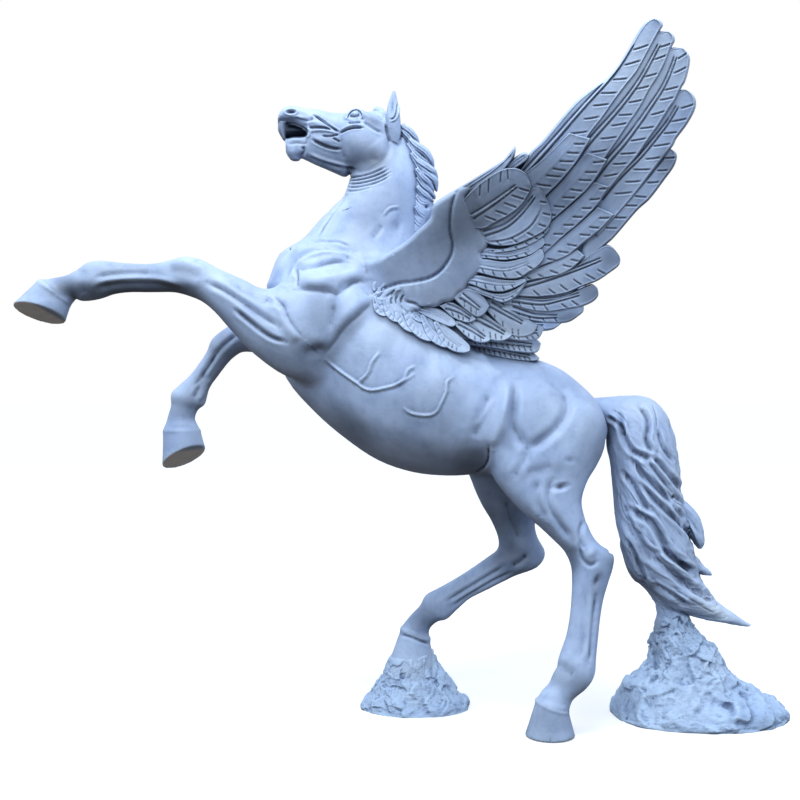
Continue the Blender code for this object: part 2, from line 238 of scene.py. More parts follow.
def polygon_distance(u, v, poly):
    """Signed distance in drawing units, negative inside."""
    best = np.full(len(u), 1e9)
    inside = np.zeros(len(u), bool)
    n = len(poly)
    for i in range(n):
        ax, ay = poly[i]
        bx, by = poly[(i + 1) % n]
        dx, dy = bx - ax, by - ay
        L = dx * dx + dy * dy + 1e-12
        t = np.clip(((u - ax) * dx + (v - ay) * dy) / L, 0, 1)
        best = np.minimum(best, (u - ax - t * dx) ** 2 + (v - ay - t * dy) ** 2)
        cond = ((ay > v) != (by > v))
        if dy != 0:
            inside ^= cond & (u < (bx - ax) * (v - ay) / (by - ay + 1e-12) + ax)
    return np.sqrt(best) * np.where(inside, -1, 1)


def field(parts, p):
    d = np.full(len(p), 1.0)
    for part in parts:
        margin = 0.06 + part.blend
        idx = np.nonzero(((p >= part.low - margin) & (p <= part.high + margin)).all(1))[0]
        if not len(idx):
            continue
        f = part(p[idx])
        if part.cut:
            d[idx] = np.maximum(d[idx], -f)
            continue
        k = part.blend
        h = np.clip(0.5 + 0.5 * (d[idx] - f) / k, 0, 1)
        d[idx] = d[idx] * (1 - h) + f * h - k * h * (1 - h)
    return d


def mesh_object(name, verts, faces):
    data = bpy.data.meshes.new(name)
    verts = np.ascontiguousarray(verts, np.float32)
    data.vertices.add(len(verts))
    data.vertices.foreach_set("co", verts.ravel())
    faces = np.asarray(faces, np.int32)
    n, m = faces.shape
    data.loops.add(n * m)
    data.loops.foreach_set("vertex_index", faces.ravel())
    data.polygons.add(n)
    data.polygons.foreach_set("loop_start", np.arange(0, n * m, m, dtype=np.int32))
    data.update(calc_edges=True)
    data.validate()
    obj = bpy.data.objects.new(name, data)
    bpy.context.scene.collection.objects.link(obj)
    data.shade_smooth()
    return obj


def coords(obj):
    co = np.empty(len(obj.data.vertices) * 3, np.float32)
    obj.data.vertices.foreach_get("co", co)
    return co.reshape(-1, 3).astype(float)


def set_coords(obj, co):
    obj.data.vertices.foreach_set("co", np.ascontiguousarray(co, np.float32).ravel())
    obj.data.update()


def normals(obj):
    n = np.empty(len(obj.data.vertices) * 3, np.float32)
    obj.data.vertex_normals.foreach_get("vector", n)
    return n.reshape(-1, 3).astype(float)


def edges_of(obj):
    e = np.empty(len(obj.data.edges) * 2, np.int32)
    obj.data.edges.foreach_get("vertices", e)
    return e.reshape(-1, 2)


def relax(values, edges, count, times):
    """Averages a value with its neighbours' some times."""
    degree = np.bincount(edges.ravel(), minlength=count).astype(float)
    degree[degree == 0] = 1
    for _ in range(times):
        if values.ndim == 1:
            total = np.bincount(edges[:, 0], values[edges[:, 1]], count) + np.bincount(edges[:, 1], values[edges[:, 0]], count)
            values = 0.5 * values + 0.5 * total / degree
        else:
            cols = [np.bincount(edges[:, 0], values[edges[:, 1], c], count) + np.bincount(edges[:, 1], values[edges[:, 0], c], count) for c in range(values.shape[1])]
            values = 0.5 * values + 0.5 * np.stack(cols, 1) / degree[:, None]
    return values


def thin(obj, triangles):
    """Brings a mesh down to a triangle count."""
    obj.data.calc_loop_triangles()
    have = len(obj.data.loop_triangles)
    if have <= triangles:
        return
    mod = obj.modifiers.new("thin", "DECIMATE")
    mod.ratio = triangles / have
    mod.use_collapse_triangulate = True
    graph = bpy.context.evaluated_depsgraph_get()
    made = bpy.data.meshes.new_from_object(obj.evaluated_get(graph))
    obj.modifiers.clear()
    obj.data = made
    made.shade_smooth()


def mark_hollows(obj, reach=(0.006, 0.03)):
    """Stores how hollow the surface is at each vertex, fine and broad, as attributes."""
    co, n, e = coords(obj), normals(obj), edges_of(obj)
    count = len(co)
    length = np.linalg.norm(co[e[:, 0]] - co[e[:, 1]], axis=1)
    mean = (np.bincount(e[:, 0], length, count) + np.bincount(e[:, 1], length, count)) / np.maximum(1, np.bincount(e.ravel(), minlength=count))
    fine = ((relax(co, e, count, 2) - co) * n).sum(1) / np.maximum(mean, 1e-5)
    fine = relax(fine, e, count, 1)
    broad = ((relax(co, e, count, 14) - co) * n).sum(1) / np.maximum(mean, 1e-5)
    broad = relax(broad, e, count, 3)
    for key, val in (("hollow", fine), ("hollow_broad", broad)):
        a = obj.data.attributes.new(key, "FLOAT", "POINT")
        a.data.foreach_set("value", val.astype(np.float32))


class Seam:
    """Keeps one side of a plane through the neck: beyond it the skin sinks slightly and closes 45 mm further."""

    def __init__(self, point, normal, low, high):
        self.point, self.normal = np.asarray(point, float), np.asarray(normal, float) / np.linalg.norm(normal)
        self.low, self.high = low, high

    def apply(self, d, p):
        s = np.where(p[:, 0] > -0.80, (p - self.point) @ self.normal, -1.0)
        return np.maximum(d + np.maximum(0, s) * 0.05, s - 0.045)


def field_with_seam(parts, p, seam):
    d = field(parts, p)
    return seam.apply(d, p) if seam is not None else d


# ------------------------------------------------------------------ carving
def polyline_near(u, v, line, reach):
    """(indices, distance, side, run 0..1) of the points within reach of a smooth line through the given points."""
    pts = catmull(line, 6) if len(line) > 2 else np.asarray(line, float)
    lo, hi = pts.min(0) - reach, pts.max(0) + reach
    idx = np.nonzero((u >= lo[0]) & (u <= hi[0]) & (v >= lo[1]) & (v <= hi[1]))[0]
    if not len(idx):
        return idx, None, None, None
    U, V = u[idx], v[idx]
    best, side, run = np.full(len(idx), 1e9), np.zeros(len(idx)), np.zeros(len(idx))
    seg = np.linalg.norm(np.diff(pts, axis=0), axis=1)
    total, at = seg.sum(), 0.0
    for i in range(len(pts) - 1):
        a, b = pts[i], pts[i + 1]
        d = b - a
        t = np.clip(((U - a[0]) * d[0] + (V - a[1]) * d[1]) / (d @ d + 1e-12), 0, 1)
        x, y = U - a[0] - t * d[0], V - a[1] - t * d[1]
        r = np.sqrt(x * x + y * y)
        hit = r < best
        best = np.where(hit, r, best)
        side = np.where(hit, np.sign(d[0] * y - d[1] * x), side)
        run = np.where(hit, (at + t * seg[i]) / total, run)
        at += seg[i]
    near = best < reach
    return idx[near], best[near], side[near], run[near]


def stroke_height(u, v, kind, line, width, depth, count):
    """Height in drawing units that one carved stroke adds at each point."""
    h = np.zeros(count)
    if kind in ("pit", "bulge"):
        (cu, cv), (ru, rv), angle = line
        ca, sa = math.cos(math.radians(angle)), math.sin(math.radians(angle))
        x, y = ((u - cu) * ca + (v - cv) * sa) / ru, (-(u - cu) * sa + (v - cv) * ca) / rv
        q = x * x + y * y
        f = np.where(q < 9, np.exp(-q * (1.4 if kind == "bulge" else 1.8)), 0)
        h += f * depth * (1 if kind == "bulge" else -1)
        if kind == "pit" and width:
            h += width * np.exp(-((np.sqrt(q) - 1.25) / 0.3) ** 2)
        return h
    idx, d, side, run = polyline_near(u, v, line, width * 4)
    if not len(idx):
        return h
    ends = smoothstep(0, 0.16, run) * smoothstep(0, 0.16, 1 - run)
    ends = 0.25 + 0.75 * ends
    ends = np.where((run <= 0.0) | (run >= 1.0), ends * np.exp(-(d / (0.6 * width)) ** 2), ends)
    if kind == "groove":
        f = -np.exp(-(d / width) ** 2) + 0.22 * np.exp(-((d - 2.0 * width) / width) ** 2)
    elif kind == "ridge":
        f = np.exp(-(d / width) ** 2) - 0.15 * np.exp(-((d - 2.2 * width) / width) ** 2)
    elif kind == "lock":
        x = d * side
        f = -np.exp(-(x / width) ** 2) + 0.5 * np.exp(-((x + 1.9 * width) / (0.8 * width)) ** 2) + 0.3 * np.exp(-((x - 1.9 * width) / (0.9 * width)) ** 2)
    elif kind == "shelf":
        t = d / width
        f = np.where(side > 0, t * np.exp(0.5 - 0.5 * t * t), 0) - 0.26 * np.exp(-(t / 0.34) ** 2)
    elif kind == "step":
        f = np.where(side > 0, 0.6 * np.exp(-(d / (1.6 * width)) ** 2) * (1 - np.exp(-(d / (0.35 * width)) ** 2) * 0.6), 0) - np.exp(-(d / (0.55 * width)) ** 2) * np.where(side > 0, 0.3, 0.75)
    h[idx] = f * depth * ends
    return h


def carve(co, n, strokes):
    """Moves points along their normals by all strokes. Sides: both (mirrored), near, far."""
    out = np.zeros(len(co))
    near, far = co[:, 1] < 0, co[:, 1] >= 0
    un, vn = to_drawing(co[near])
    um, vm = to_drawing(co[far], True)
    uf, vf = to_drawing(co[far])
    face_near = smoothstep(-0.25, 0.2, -n[near, 1])
    face_far = smoothstep(-0.25, 0.2, n[far, 1])
    for kind, line, width, depth, side in strokes:
        if side in ("both", "near", "near_all"):
            h = stroke_height(un, vn, kind, line, width, depth, near.sum())
            out[near] += h * (1 if side == "near_all" else face_near)
        if side == "both":
            out[far] += stroke_height(um, vm, kind, line, width, depth, far.sum()) * face_far
        if side == "far_all":
            out[far] += stroke_height(uf, vf, kind, line, width, depth, far.sum())
    return co + n * (out * UNIT)[:, None]


# ------------------------------------------------------------------ the horse
TRUNK = [
    (330, 226, 266, 296, 0, 30), (366, 231, 270, 334, 0, 50), (400, 243, 287, 379, 0, 60),
    (418, 268, 315, 412, 0, 64), (436, 297, 345, 438, 0, 67), (456, 326, 378, 460, 0, 69),
    (480, 347, 413, 472, 0, 69), (507, 354, 448, 475.5, 0, 67), (533, 358.5, 480, 474, 0, 66),
    (558, 368.5, 510, 475, 0, 64), (578, 383, 545, 476, 0, 58), (595, 401, 578, 466, 0, 46),
    (604, 420, 599, 446, 0, 25),
]
NECK = [
    (271, 285, 440, 285, 0, 48), (280, 255, 424, 255, 0, 43), (303, 241, 420, 224, 0, 36),
    (324, 217, 421.5, 194, 0, 30), (342, 199, 420, 170, 0, 26), (348, 185, 412, 147, 0, 22),
    (352, 170, 401, 130, 0, 19),
]
SKULL = [
    (399, 128, 391, 157, 0, 14), (386, 114, 381, 168, 0, 19.5), (368, 112, 368, 172, 0, 22), (352, 114, 352, 172, 0, 21.5),
    (337, 113.8, 335, 167, 0, 17.5), (322, 112, 317, 162.5, 0, 15.5), (311, 110.5, 307, 158, 0, 13.8),
]
MUZZLE = [
    (334, 119, 332, 134, 0, 9), (321, 112.6, 316.5, 138, 0, 14.0), (309, 110, 305.5, 129, 0, 14), (299, 108, 296, 124, 0, 14), (290, 107, 287.5, 122.8, 0, 13.6),
    (283.5, 110.2, 280.5, 123, 0, 12), (280, 115, 278.3, 123.8, 0, 9),
]
TEETH = [(278.3, 123, 287, 123, 0, 8), (278.2, 131, 286.5, 131, 0, 7.5), (283, 140, 287, 140, 0, 6)]
JAW = [
    (338, 148, 340, 160, 0, 9), (323, 142, 325, 165, 0, 14.0), (310, 138.5, 311, 160.5, 0, 12.5), (300, 138, 301, 157.5, 0, 11.6),
    (291, 138.8, 292, 158, 0, 11), (286, 141.5, 287, 152, 0, 8.5),
]
JAW_UNDER = [(352, 150, 351, 172, 0, 9), (345, 152, 344.5, 176.5, 0, 12.5), (334, 150, 332.5, 171.5, 0, 13.5), (318, 148, 317, 164, 0, 12.5), (304, 146, 303, 157.5, 0, 10), (300, 148, 299.5, 155, 0, 8)]
CHIN = [(287.5, 146, 301, 146, 0, 9.5), (286.5, 153, 301.5, 154, 0, 9.5), (290.5, 159.5, 299.5, 160, 0, 7)]
PALATE = [(309, 124, 309, 138, 0, 5.5), (284, 123, 286, 139, 0, 5.0)]
EAR = [
    (390, 140, 399, 145, -14, 5), (387.2, 127, 401, 134, -15.5, 6), (386.3, 114, 400.2, 117, -17, 5.6), (388.3, 103, 398, 103.5, -17.6, 4.0), (391.2, 95, 396.3, 95.5, -18, 2.8), (393, 90.5, 395, 90.5, -18.2, 1.6),
]
BROW = [(344.5, 117.6, 346.5, 120.4, -15, 2.0), (347, 113.2, 350.2, 116, -13.6, 3.0), (351.4, 109.8, 353.6, 113, -12.4, 3.6), (356.6, 108.8, 357.2, 112.2, -12, 4.0), (362, 110.4, 361, 115, -12.4, 4.4), (367.6, 113.4, 365, 119.6, -13.4, 5.0), (375, 117.4, 371, 124, -14, 5.0), (383, 122.6, 380.4, 128, -13, 4.0)]
LOWER_LID = [(345.6, 117.8, 346.4, 119.6, -15.4, 2.4), (350, 118.6, 350.4, 121, -16.6, 2.6), (355, 119.2, 355.2, 121.8, -17, 2.8), (360, 118, 361, 120.6, -16.4, 2.6), (363, 116, 364, 118, -15.4, 2.0)]
EYEBALL = [(350.2, 114.2, 350.4, 116.6, -13.6, 2.6), (352.2, 112.0, 352.6, 118, -13.6, 4.6), (354.8, 111.2, 355, 118.8, -13.6, 5.6), (357.4, 112.0, 357.4, 118.0, -13.6, 4.8), (359.4, 114.2, 359.4, 116.4, -13.6, 2.8)]
FORELOCK = [(386, 112, 384, 120, 5, 7), (380, 107, 377, 116, 7, 6), (374.5, 107.5, 372.5, 113, 8, 3.5)]
NEAR_FORELEG = [
    (356, 268, 378, 322, -12, 26), (336, 258, 360, 346, -20, 33), (313, 258, 340, 366, -28, 35), (291, 274, 316, 380, -37, 31), (276, 287, 286, 376, -43, 26.5), (261, 288.5, 252, 352, -46, 23.5), (247, 282, 231, 330, -47, 21), (234, 275.5, 215, 312, -48, 17.5),
    (219, 269, 202, 301.5, -48, 15.5), (204, 261, 189, 296, -48, 16.5), (188, 257.5, 178, 293, -48, 16.5),
    (171, 260.8, 166, 292, -48, 14), (150, 264, 148, 292, -48, 11.5), (130, 263.5, 129, 292, -48, 11.5),
    (114, 262, 114, 294, -48, 12.5), (101, 260.8, 103, 298, -48, 14), (89, 262.3, 92, 300.5, -48, 14.5),
    (80, 268, 82, 301, -48, 13.5), (70, 274.5, 76, 299, -48, 12.5), (58, 277.5, 73, 302, -48, 13.5), (44, 280, 71, 304, -48, 17),
]
FAR_FORELEG = [
    (356, 268, 378, 322, 12, 26), (336, 258, 360, 344, 20, 33), (313, 260, 338, 362, 28, 34), (292, 282, 312, 368, 38, 29), (268, 300, 280, 358, 46, 23), (248, 314, 258, 353, 47, 18), (228, 326.5, 243, 352, 48, 15.5),
    (212.5, 339, 234, 357, 48, 15), (207, 352, 227, 364, 48, 13), (198.5, 365, 217.5, 376.5, 48, 11.5),
    (189.5, 376, 209.5, 388, 48, 11.5), (178.5, 386, 207, 397, 48, 13.5), (171.5, 393.5, 204.5, 404.5, 48, 14), (171, 405, 198, 410, 48, 12.5),
    (168, 417, 195, 419, 48, 12.5), (164, 430, 200, 430, 48, 17),
]
NEAR_THIGH = [
    (540, 392, 588, 400, -22, 24), (519, 402, 600, 412, -29, 31), (500, 420, 605, 427, -32, 33.5), (488.5, 444, 604, 447, -33, 35), (488.5, 461, 597, 464, -34, 34),
    (494, 478, 587, 481, -36, 31), (506.5, 495, 581.5, 499, -39, 28), (521, 511, 583.5, 514, -41, 24), (538, 525.5, 589.5, 530, -42, 19.5),
    (553, 539.5, 598, 543, -42, 16.5), (564.5, 551.5, 612.5, 553.5, -42, 15), (571, 566, 613, 566, -42, 14.5),
    (572, 581, 608.5, 581, -42, 13.5), (571.5, 598, 603.5, 598, -42, 12), (570, 615, 600.3, 616, -42, 11.5), (566.5, 635, 598, 636, -42, 11.5),
    (560, 654, 596, 656, -42, 13), (555, 670, 594.5, 674, -42, 15), (549.5, 683, 587, 687, -42, 14), (542, 691.5, 573, 699, -42, 14), (536.5, 701, 568.5, 711, -42, 18),
]
FAR_THIGH = [
    (540, 392, 588, 400, 22, 24), (517, 404, 600, 412, 29, 31), (490, 430, 598, 436, 33, 33.5), (468, 462, 575, 465, 38, 32), (472, 482, 557, 486, 42, 29),
    (481.5, 504, 541, 506, 46, 25), (491, 520, 535, 522, 49, 20), (498, 537, 537, 536, 51, 16.5), (497.5, 549, 545, 553, 52, 15),
    (487, 557.5, 537, 567, 52, 14.5), (475, 566, 514, 576, 52, 12.5), (458, 577, 489.5, 588, 52, 11.5), (440.5, 587, 467, 600, 52, 11.5),
    (426, 595, 448, 618, 52, 13.5), (420, 605.5, 438, 621, 52, 13.5), (411, 615, 430, 628, 52, 13), (402, 626, 429, 637, 52, 17),
]
HOOVES = {
    "near_fore": ((38, 281, 70.5, 305, -48, 19, 0.1), (13.2, 307, 65, 319.6, -48, 23, 0.36)),
    "far_fore": ((163, 431, 200.5, 430, 48, 18.5, 0), (163.5, 467.5, 204.5, 446.5, 48, 21.5, 0.38)),
    "near_hind": ((536, 700.5, 568.5, 710.5, -42, 19, 0), (525, 735.6, 575, 735.6, -42, 24, 0)),
    "far_hind": ((401, 628, 430, 638, 52, 18, 0), (386, 670, 434, 666, 52, 22, 0)),
}
ROOT_U, ROOT_V, UPWARD = 375.0, 290.0, (0.308, -0.951)


def arm_depth(u, v):
    """The wing's depth, but the root of the arm sinks into the shoulder."""
    return wing_depth(u, v) + 20.0 * smoothstep(386, 346, u)


def wing_depth(u, v):
    h = np.maximum(0.0, (u - ROOT_U) * UPWARD[0] + (v - ROOT_V) * UPWARD[1])
    return -46.0 - 0.45 * h + 0.0003 * h * h


# the fleshy arm of the wing: leading edge, then down the scalloped border and back along the flank
ARM_OUTLINE = np.array([
    (340, 268), (352, 262.5), (371.5, 261.5), (389, 252), (405, 242), (418, 230), (430, 218), (433.5, 204), (447, 194.5), (462, 186), (478, 179.5), (489, 171), (499, 163), (506, 158), (512, 150), (515, 147), (515.5, 152), (513, 160),
    (503, 170), (485, 183), (467, 197), (474, 205), (480.5, 214), (481, 222), (482.5, 230), (489, 242), (486, 250), (482, 254), (485, 261), (483, 269), (477, 276), (469, 283), (465, 290), (459, 294), (455, 299), (449, 302), (443, 303),
    (436, 307), (424, 308), (414, 311), (402, 316), (386, 313), (370, 306), (352, 300), (340, 290)])
ARM_RIDGE = [(458, 190), (453, 206), (451.5, 220), (451.5, 232), (454, 246), (451, 258), (442, 271), (430, 279), (413, 283), (398, 285), (384, 290)]


def arm_thick(u, v):
    idx, d, side, run = polyline_near(u, v, ARM_RIDGE, 400)
    s = np.zeros(len(u))
    s[idx] = d * side
    upper = smoothstep(-0.9, 1.3, -s)
    far = smoothstep(395, 500, u)
    crease = -1.3 * np.exp(-((s - 1.6) / 1.5) ** 2)
    return (14.5 - 4.0 * far) * upper + (10.6 - 3.0 * far) * (1 - upper) + crease

BODY_STROKES = [
    # throat folds
    ("groove", [(346, 177.6), (358, 176.6), (372, 173), (386, 167)], 1.15, 1.7, "both"),
    ("groove", [(346.6, 180.6), (360, 179.6), (375, 175.8), (389, 169.4)], 1.15, 1.7, "both"),
    ("groove", [(346.4, 183.8), (360, 183), (377, 178.8), (391, 172)], 1.15, 1.7, "both"),
    ("groove", [(346, 187.2), (360, 186.4), (377, 182.2), (391, 175)], 1.15, 1.5, "both"),
    ("groove", [(346, 190.8), (358, 190), (372, 186.6)], 1.15, 1.2, "both"),
    # neck
    ("lock", [(349, 190), (344, 198), (336, 209), (327, 222), (318, 237)], 1.3, 1.2, "both"),
    ("groove", [(352, 196), (345, 212), (334, 230), (325, 244)], 6.0, 1.4, "both"),
    ("ridge", [(383, 216), (387, 210.6), (392, 207.6), (399, 207)], 1.4, 1.5, "both"),
    ("bulge", ((391, 219), (9, 10), 30), 0, 1.7, "both"),
    ("pit", ((398, 226), (6, 11), 12), 0, 1.7, "both"),
    ("groove", [(382, 224), (378, 232), (372, 238)], 3.0, 1.0, "both"),
    # chest and shoulder
    ("bulge", ((300, 256), (26, 9), -38), 0, 3.0, "both"),
    ("bulge", ((284, 270), (9, 14), 10), 0, 2.2, "both"),
    ("bulge", ((322, 250), (24, 6), -8), 0, 2.6, "both"),
    ("bulge", ((330, 278), (26, 7), -12), 0, 2.6, "both"),
    ("bulge", ((303, 278), (11, 8), -25), 0, 2.4, "both"),
    ("bulge", ((345, 300), (12, 20), 25), 0, 3.2, "both"),
    ("bulge", ((352, 320), (14, 22), 38), 0, 2.6, "both"),
    ("bulge", ((305, 318), (18, 26), -35), 0, 2.4, "near"),
    ("bulge", ((310, 342), (12, 16), -30), 0, 2.0, "near"),
    ("shelf", [(347, 262.5), (332, 263), (314, 268), (297, 270.5)], 5.0, 2.6, "both"),
    ("shelf", [(367, 280), (353, 283), (345, 288.5), (337, 293.4), (329, 292), (314, 290.5), (298, 289.5)], 8.5, 3.9, "both"),
    ("groove", [(297, 269.5), (298, 279), (298.4, 288)], 1.7, 1.0, "both"),
    ("groove", [(336.8, 292), (334.4, 302), (332.6, 314), (330, 328)], 3.2, 1.2, "both"),
    ("groove", [(334, 300), (331.6, 324), (327, 340), (317, 356)], 6.0, 1.8, "both"),
    ("groove", [(311, 242), (325, 240.6), (337, 241.6), (350, 246.4)], 1.2, 1.0, "both"),
    ("ridge", [(285, 287), (291, 277), (296, 267.6), (303, 260), (313, 254.6), (327, 251.6), (343, 253), (356, 257)], 2.4, 2.0, "both"),
    ("groove", [(282, 282), (287, 271), (292, 262), (300, 255), (312, 249.4), (326, 247.4), (340, 248.6), (352, 253)], 4.2, 2.4, "both"),
    ("shelf", [(373, 301), (360, 314), (349, 324), (340, 334), (333, 344), (323, 356)], 9.0, 3.3, "both"),
    ("shelf", [(272, 295), (283, 305), (289, 318), (295, 328), (304, 338)], 5.5, 2.6, "near"),
    ("bulge", ((372, 340), (20, 24), 40), 0, 2.4, "both"),
    ("pit", ((315, 351), (10, 7), -20), 0, 2.6, "both"),
    ("pit", ((290, 249), (1.3, 1.3), 0), 0, 2.6, "near"),
    # small leaves at the root of the wing
    ("groove", [(404.5, 300.6), (409, 302.1), (413.6, 303.3), (416.6, 304.8), (420.4, 307.5), (425, 308.2), (432, 307.4)], 1.3, 1.5, "both"),
    ("groove", [(374.5, 295.6), (379, 296), (383.3, 290.4)], 1.0, 1.4, "both"),
    ("groove", [(382.6, 299), (386.8, 295.6), (388.7, 294)], 1.0, 1.3, "both"),
    ("groove", [(390.6, 294.6), (393, 292.2), (395.2, 290)], 1.0, 1.3, "both"),
    ("groove", [(375.3, 303.7), (380.3, 306.3), (383.7, 303.3)], 1.0, 1.3, "both"),
    ("groove", [(391.8, 304.5), (391, 300), (392.5, 297)], 0.9, 1.1, "both"),
    ("groove", [(396.2, 304), (395.4, 300), (397, 296)], 0.9, 1.1, "both"),
    ("groove", [(401.5, 303), (401, 299.8), (402.6, 296.8), (403.8, 294.9)], 1.0, 1.3, "both"),
    ("groove", [(400, 305), (403, 309), (408, 313)], 0.9, 1.1, "both"),
    ("ridge", [(374.5, 294.2), (380, 289.4), (384.6, 283.6)], 1.2, 1.2, "both"),
    ("ridge", [(379, 300.6), (384.5, 297.6), (388, 291.8)], 1.2, 1.1, "both"),
    ("ridge", [(394, 293), (397, 290), (401, 288.8)], 1.2, 1.0, "both"),
    ("ridge", [(388.5, 304), (388.8, 299.6), (390.5, 296)], 1.1, 0.9, "both"),
    ("ridge", [(398.6, 304), (398.4, 299.6), (400, 295)], 1.1, 0.9, "both"),
    # veins of the flank
    ("ridge", [(325, 359), (340, 371), (357, 383), (364, 388), (372, 390), (384, 388), (395, 385), (405, 380), (415, 374)], 1.4, 1.8, "both"),
    ("ridge", [(357, 383), (367, 374), (372, 362), (380, 352)], 1.5, 1.4, "both"),
    ("ridge", [(395, 385), (404, 378), (408, 370), (416, 366)], 1.4, 1.1, "both"),
    ("ridge", [(403, 408), (411, 413), (420, 415), (430, 415), (437, 411), (441, 403), (446, 392), (447, 382), (455, 376)], 1.4, 1.8, "both"),
    # ribs and flank
    ("groove", [(400, 330), (390, 360), (396, 395)], 7.0, 0.9, "both"),
    ("groove", [(432, 345), (424, 380), (430, 420)], 7.0, 0.9, "both"),
    ("groove", [(462, 352), (458, 390), (462, 430)], 8.0, 1.2, "both"),
    ("ridge", [(478, 350), (486, 362), (494, 371), (504, 376)], 4.0, 2.2, "both"),
    ("ridge", [(510, 378), (509, 392), (504, 410), (499, 427), (490, 449)], 5.0, 2.8, "both"),
    ("groove", [(489, 392), (486, 408), (480, 424), (473, 440)], 5.5, 2.6, "both"),
    ("ridge", [(494, 396), (486, 412), (476, 428)], 3.0, 1.2, "both"),
    ("step", [(474, 474), (484, 468), (489, 458), (489, 446)], 3.5, 2.5, "both"),
    # haunch
    ("groove", [(541, 374), (556, 384), (565, 396), (566.5, 411), (558, 427), (543, 440), (527, 450)], 4.5, 3.2, "both"),
    ("groove", [(511, 378), (513, 392), (513.5, 408), (514, 425), (519, 438), (526, 448)], 4.5, 3.0, "both"),
    ("bulge", ((539, 404), (22, 26), 20), 0, 2.6, "both"),
    ("bulge", ((583, 425), (13, 26), 12), 0, 2.2, "both"),
    ("bulge", ((506, 462), (16, 20), -35), 0, 2.6, "both"),
    ("groove", [(528, 450), (523, 462), (514, 478)], 4.0, 1.8, "near"),
    ("groove", [(525, 472.5), (540, 470), (553, 465)], 4.6, 1.2, "near"),
    ("pit", ((561, 487), (9, 4.2), -12), 0.3, 3.0, "near"),
    ("pit", ((570, 460.5), (7, 4.6), 0), 0, 1.3, "near"),
    ("groove", [(553, 478), (549, 492), (550, 507), (560, 525), (572, 540)], 3.6, 2.4, "near"),
    ("groove", [(538, 480), (536, 500), (548, 520)], 4.0, 1.6, "near"),
    ("groove", [(584, 520), (580, 535), (585, 550)], 2.4, 1.8, "near_all"),
    # hock and cannon of the near hind leg
    ("bulge", ((590, 553.5), (6, 8.5), 15), 0, 3.2, "near"),
    ("groove", [(579, 540), (580.4, 552), (584, 561), (591, 565), (598, 561)], 2.0, 1.6, "near"),
    ("pit", ((597, 581), (5, 8.5), 25), 0, 3.2, "near"),
    ("groove", [(586, 590), (585, 610), (583, 640), (580, 660)], 3.0, 1.0, "near_all"),
    ("groove", [(596, 594), (593.4, 618), (591.6, 640), (589.4, 664)], 1.9, 2.0, "near_all"),
    ("ridge", [(590, 590), (588.4, 615), (586.8, 640), (584.6, 660)], 2.4, 1.0, "near"),
    ("ridge", [(536, 699), (545, 703), (556, 707), (568, 709)], 2.0, 0.7, "near_all"),
    ("groove", [(556, 663), (564, 670), (574, 676)], 5.5, 1.8, "near_all"),
    # far hind leg
    ("groove", [(505, 500), (510, 520), (520, 540)], 4.0, 2.4, "far_all"),
    ("groove", [(527, 555), (520, 562), (512, 566)], 2.6, 2.4, "far_all"),
    ("bulge", ((524, 548), (8, 6), 20), 0, 2.2, "far_all"),
    ("groove", [(505, 565), (485, 577), (464, 590), (446, 601)], 2.0, 1.8, "far_all"),
    ("groove", [(512, 572), (492, 582), (470, 595), (452, 607)], 1.8, 1.6, "far_all"),
    ("ridge", [(401, 629), (411, 631), (421, 635), (430, 639)], 2.2, 1.4, "far_all"),
    ("groove", [(399, 634), (410, 637), (420, 641), (430, 644)], 1.4, 1.2, "far_all"),
    # near foreleg
    ("groove", [(206, 282), (225, 291), (245, 304), (262, 316), (280, 327)], 3.0, 2.6, "near_all"),
    ("groove", [(234, 309), (250, 322), (262, 331.5), (273, 338), (286, 342)], 2.2, 2.8, "near_all"),
    ("groove", [(232, 282), (248, 292), (266, 300), (288, 308)], 3.4, 1.8, "near_all"),
    ("groove", [(96, 277), (108, 274.6), (122, 273.4), (138, 272.8), (152, 273)], 2.6, 1.3, "near_all"),
    ("ridge", [(92, 286), (102, 281.6), (114, 279.4), (130, 278.2), (146, 278), (160, 279), (172, 282), (184, 287.5)], 2.3, 1.3, "near_all"),
    ("groove", [(96, 290), (110, 286), (128, 284.6), (146, 284.6), (162, 286), (176, 290)], 3.4, 1.3, "near_all"),
    ("groove", [(166, 269), (178, 270), (190, 272), (202, 277)], 6.0, 1.5, "near_all"),
    ("ridge", [(164, 261), (178, 260), (192, 260)], 4.0, 0.8, "near_all"),
    ("groove", [(82, 268), (80, 282), (84, 296)], 5.0, 1.4, "near_all"),
    ("ridge", [(37, 282), (48, 287), (60, 295), (71, 305)], 2.4, 0.6, "near_all"),
    # far foreleg
    ("groove", [(238, 333), (222, 347), (209, 363), (198, 380)], 2.6, 2.4, "far_all"),
    ("groove", [(215, 356), (205, 372), (193, 387)], 2.0, 1.5, "far_all"),
    ("groove", [(170, 404), (182, 407), (195, 410)], 6.0, 0.9, "far_all"),
    ("groove", [(206, 374), (199, 387), (194, 399)], 2.4, 1.6, "far_all"),
    ("ridge", [(210, 378), (205, 390), (198, 401)], 2.4, 1.1, "far_all"),
    ("ridge", [(165, 429.5), (175, 425.5), (186, 424.5), (197, 429)], 3.4, 1.0, "far_all"),
]
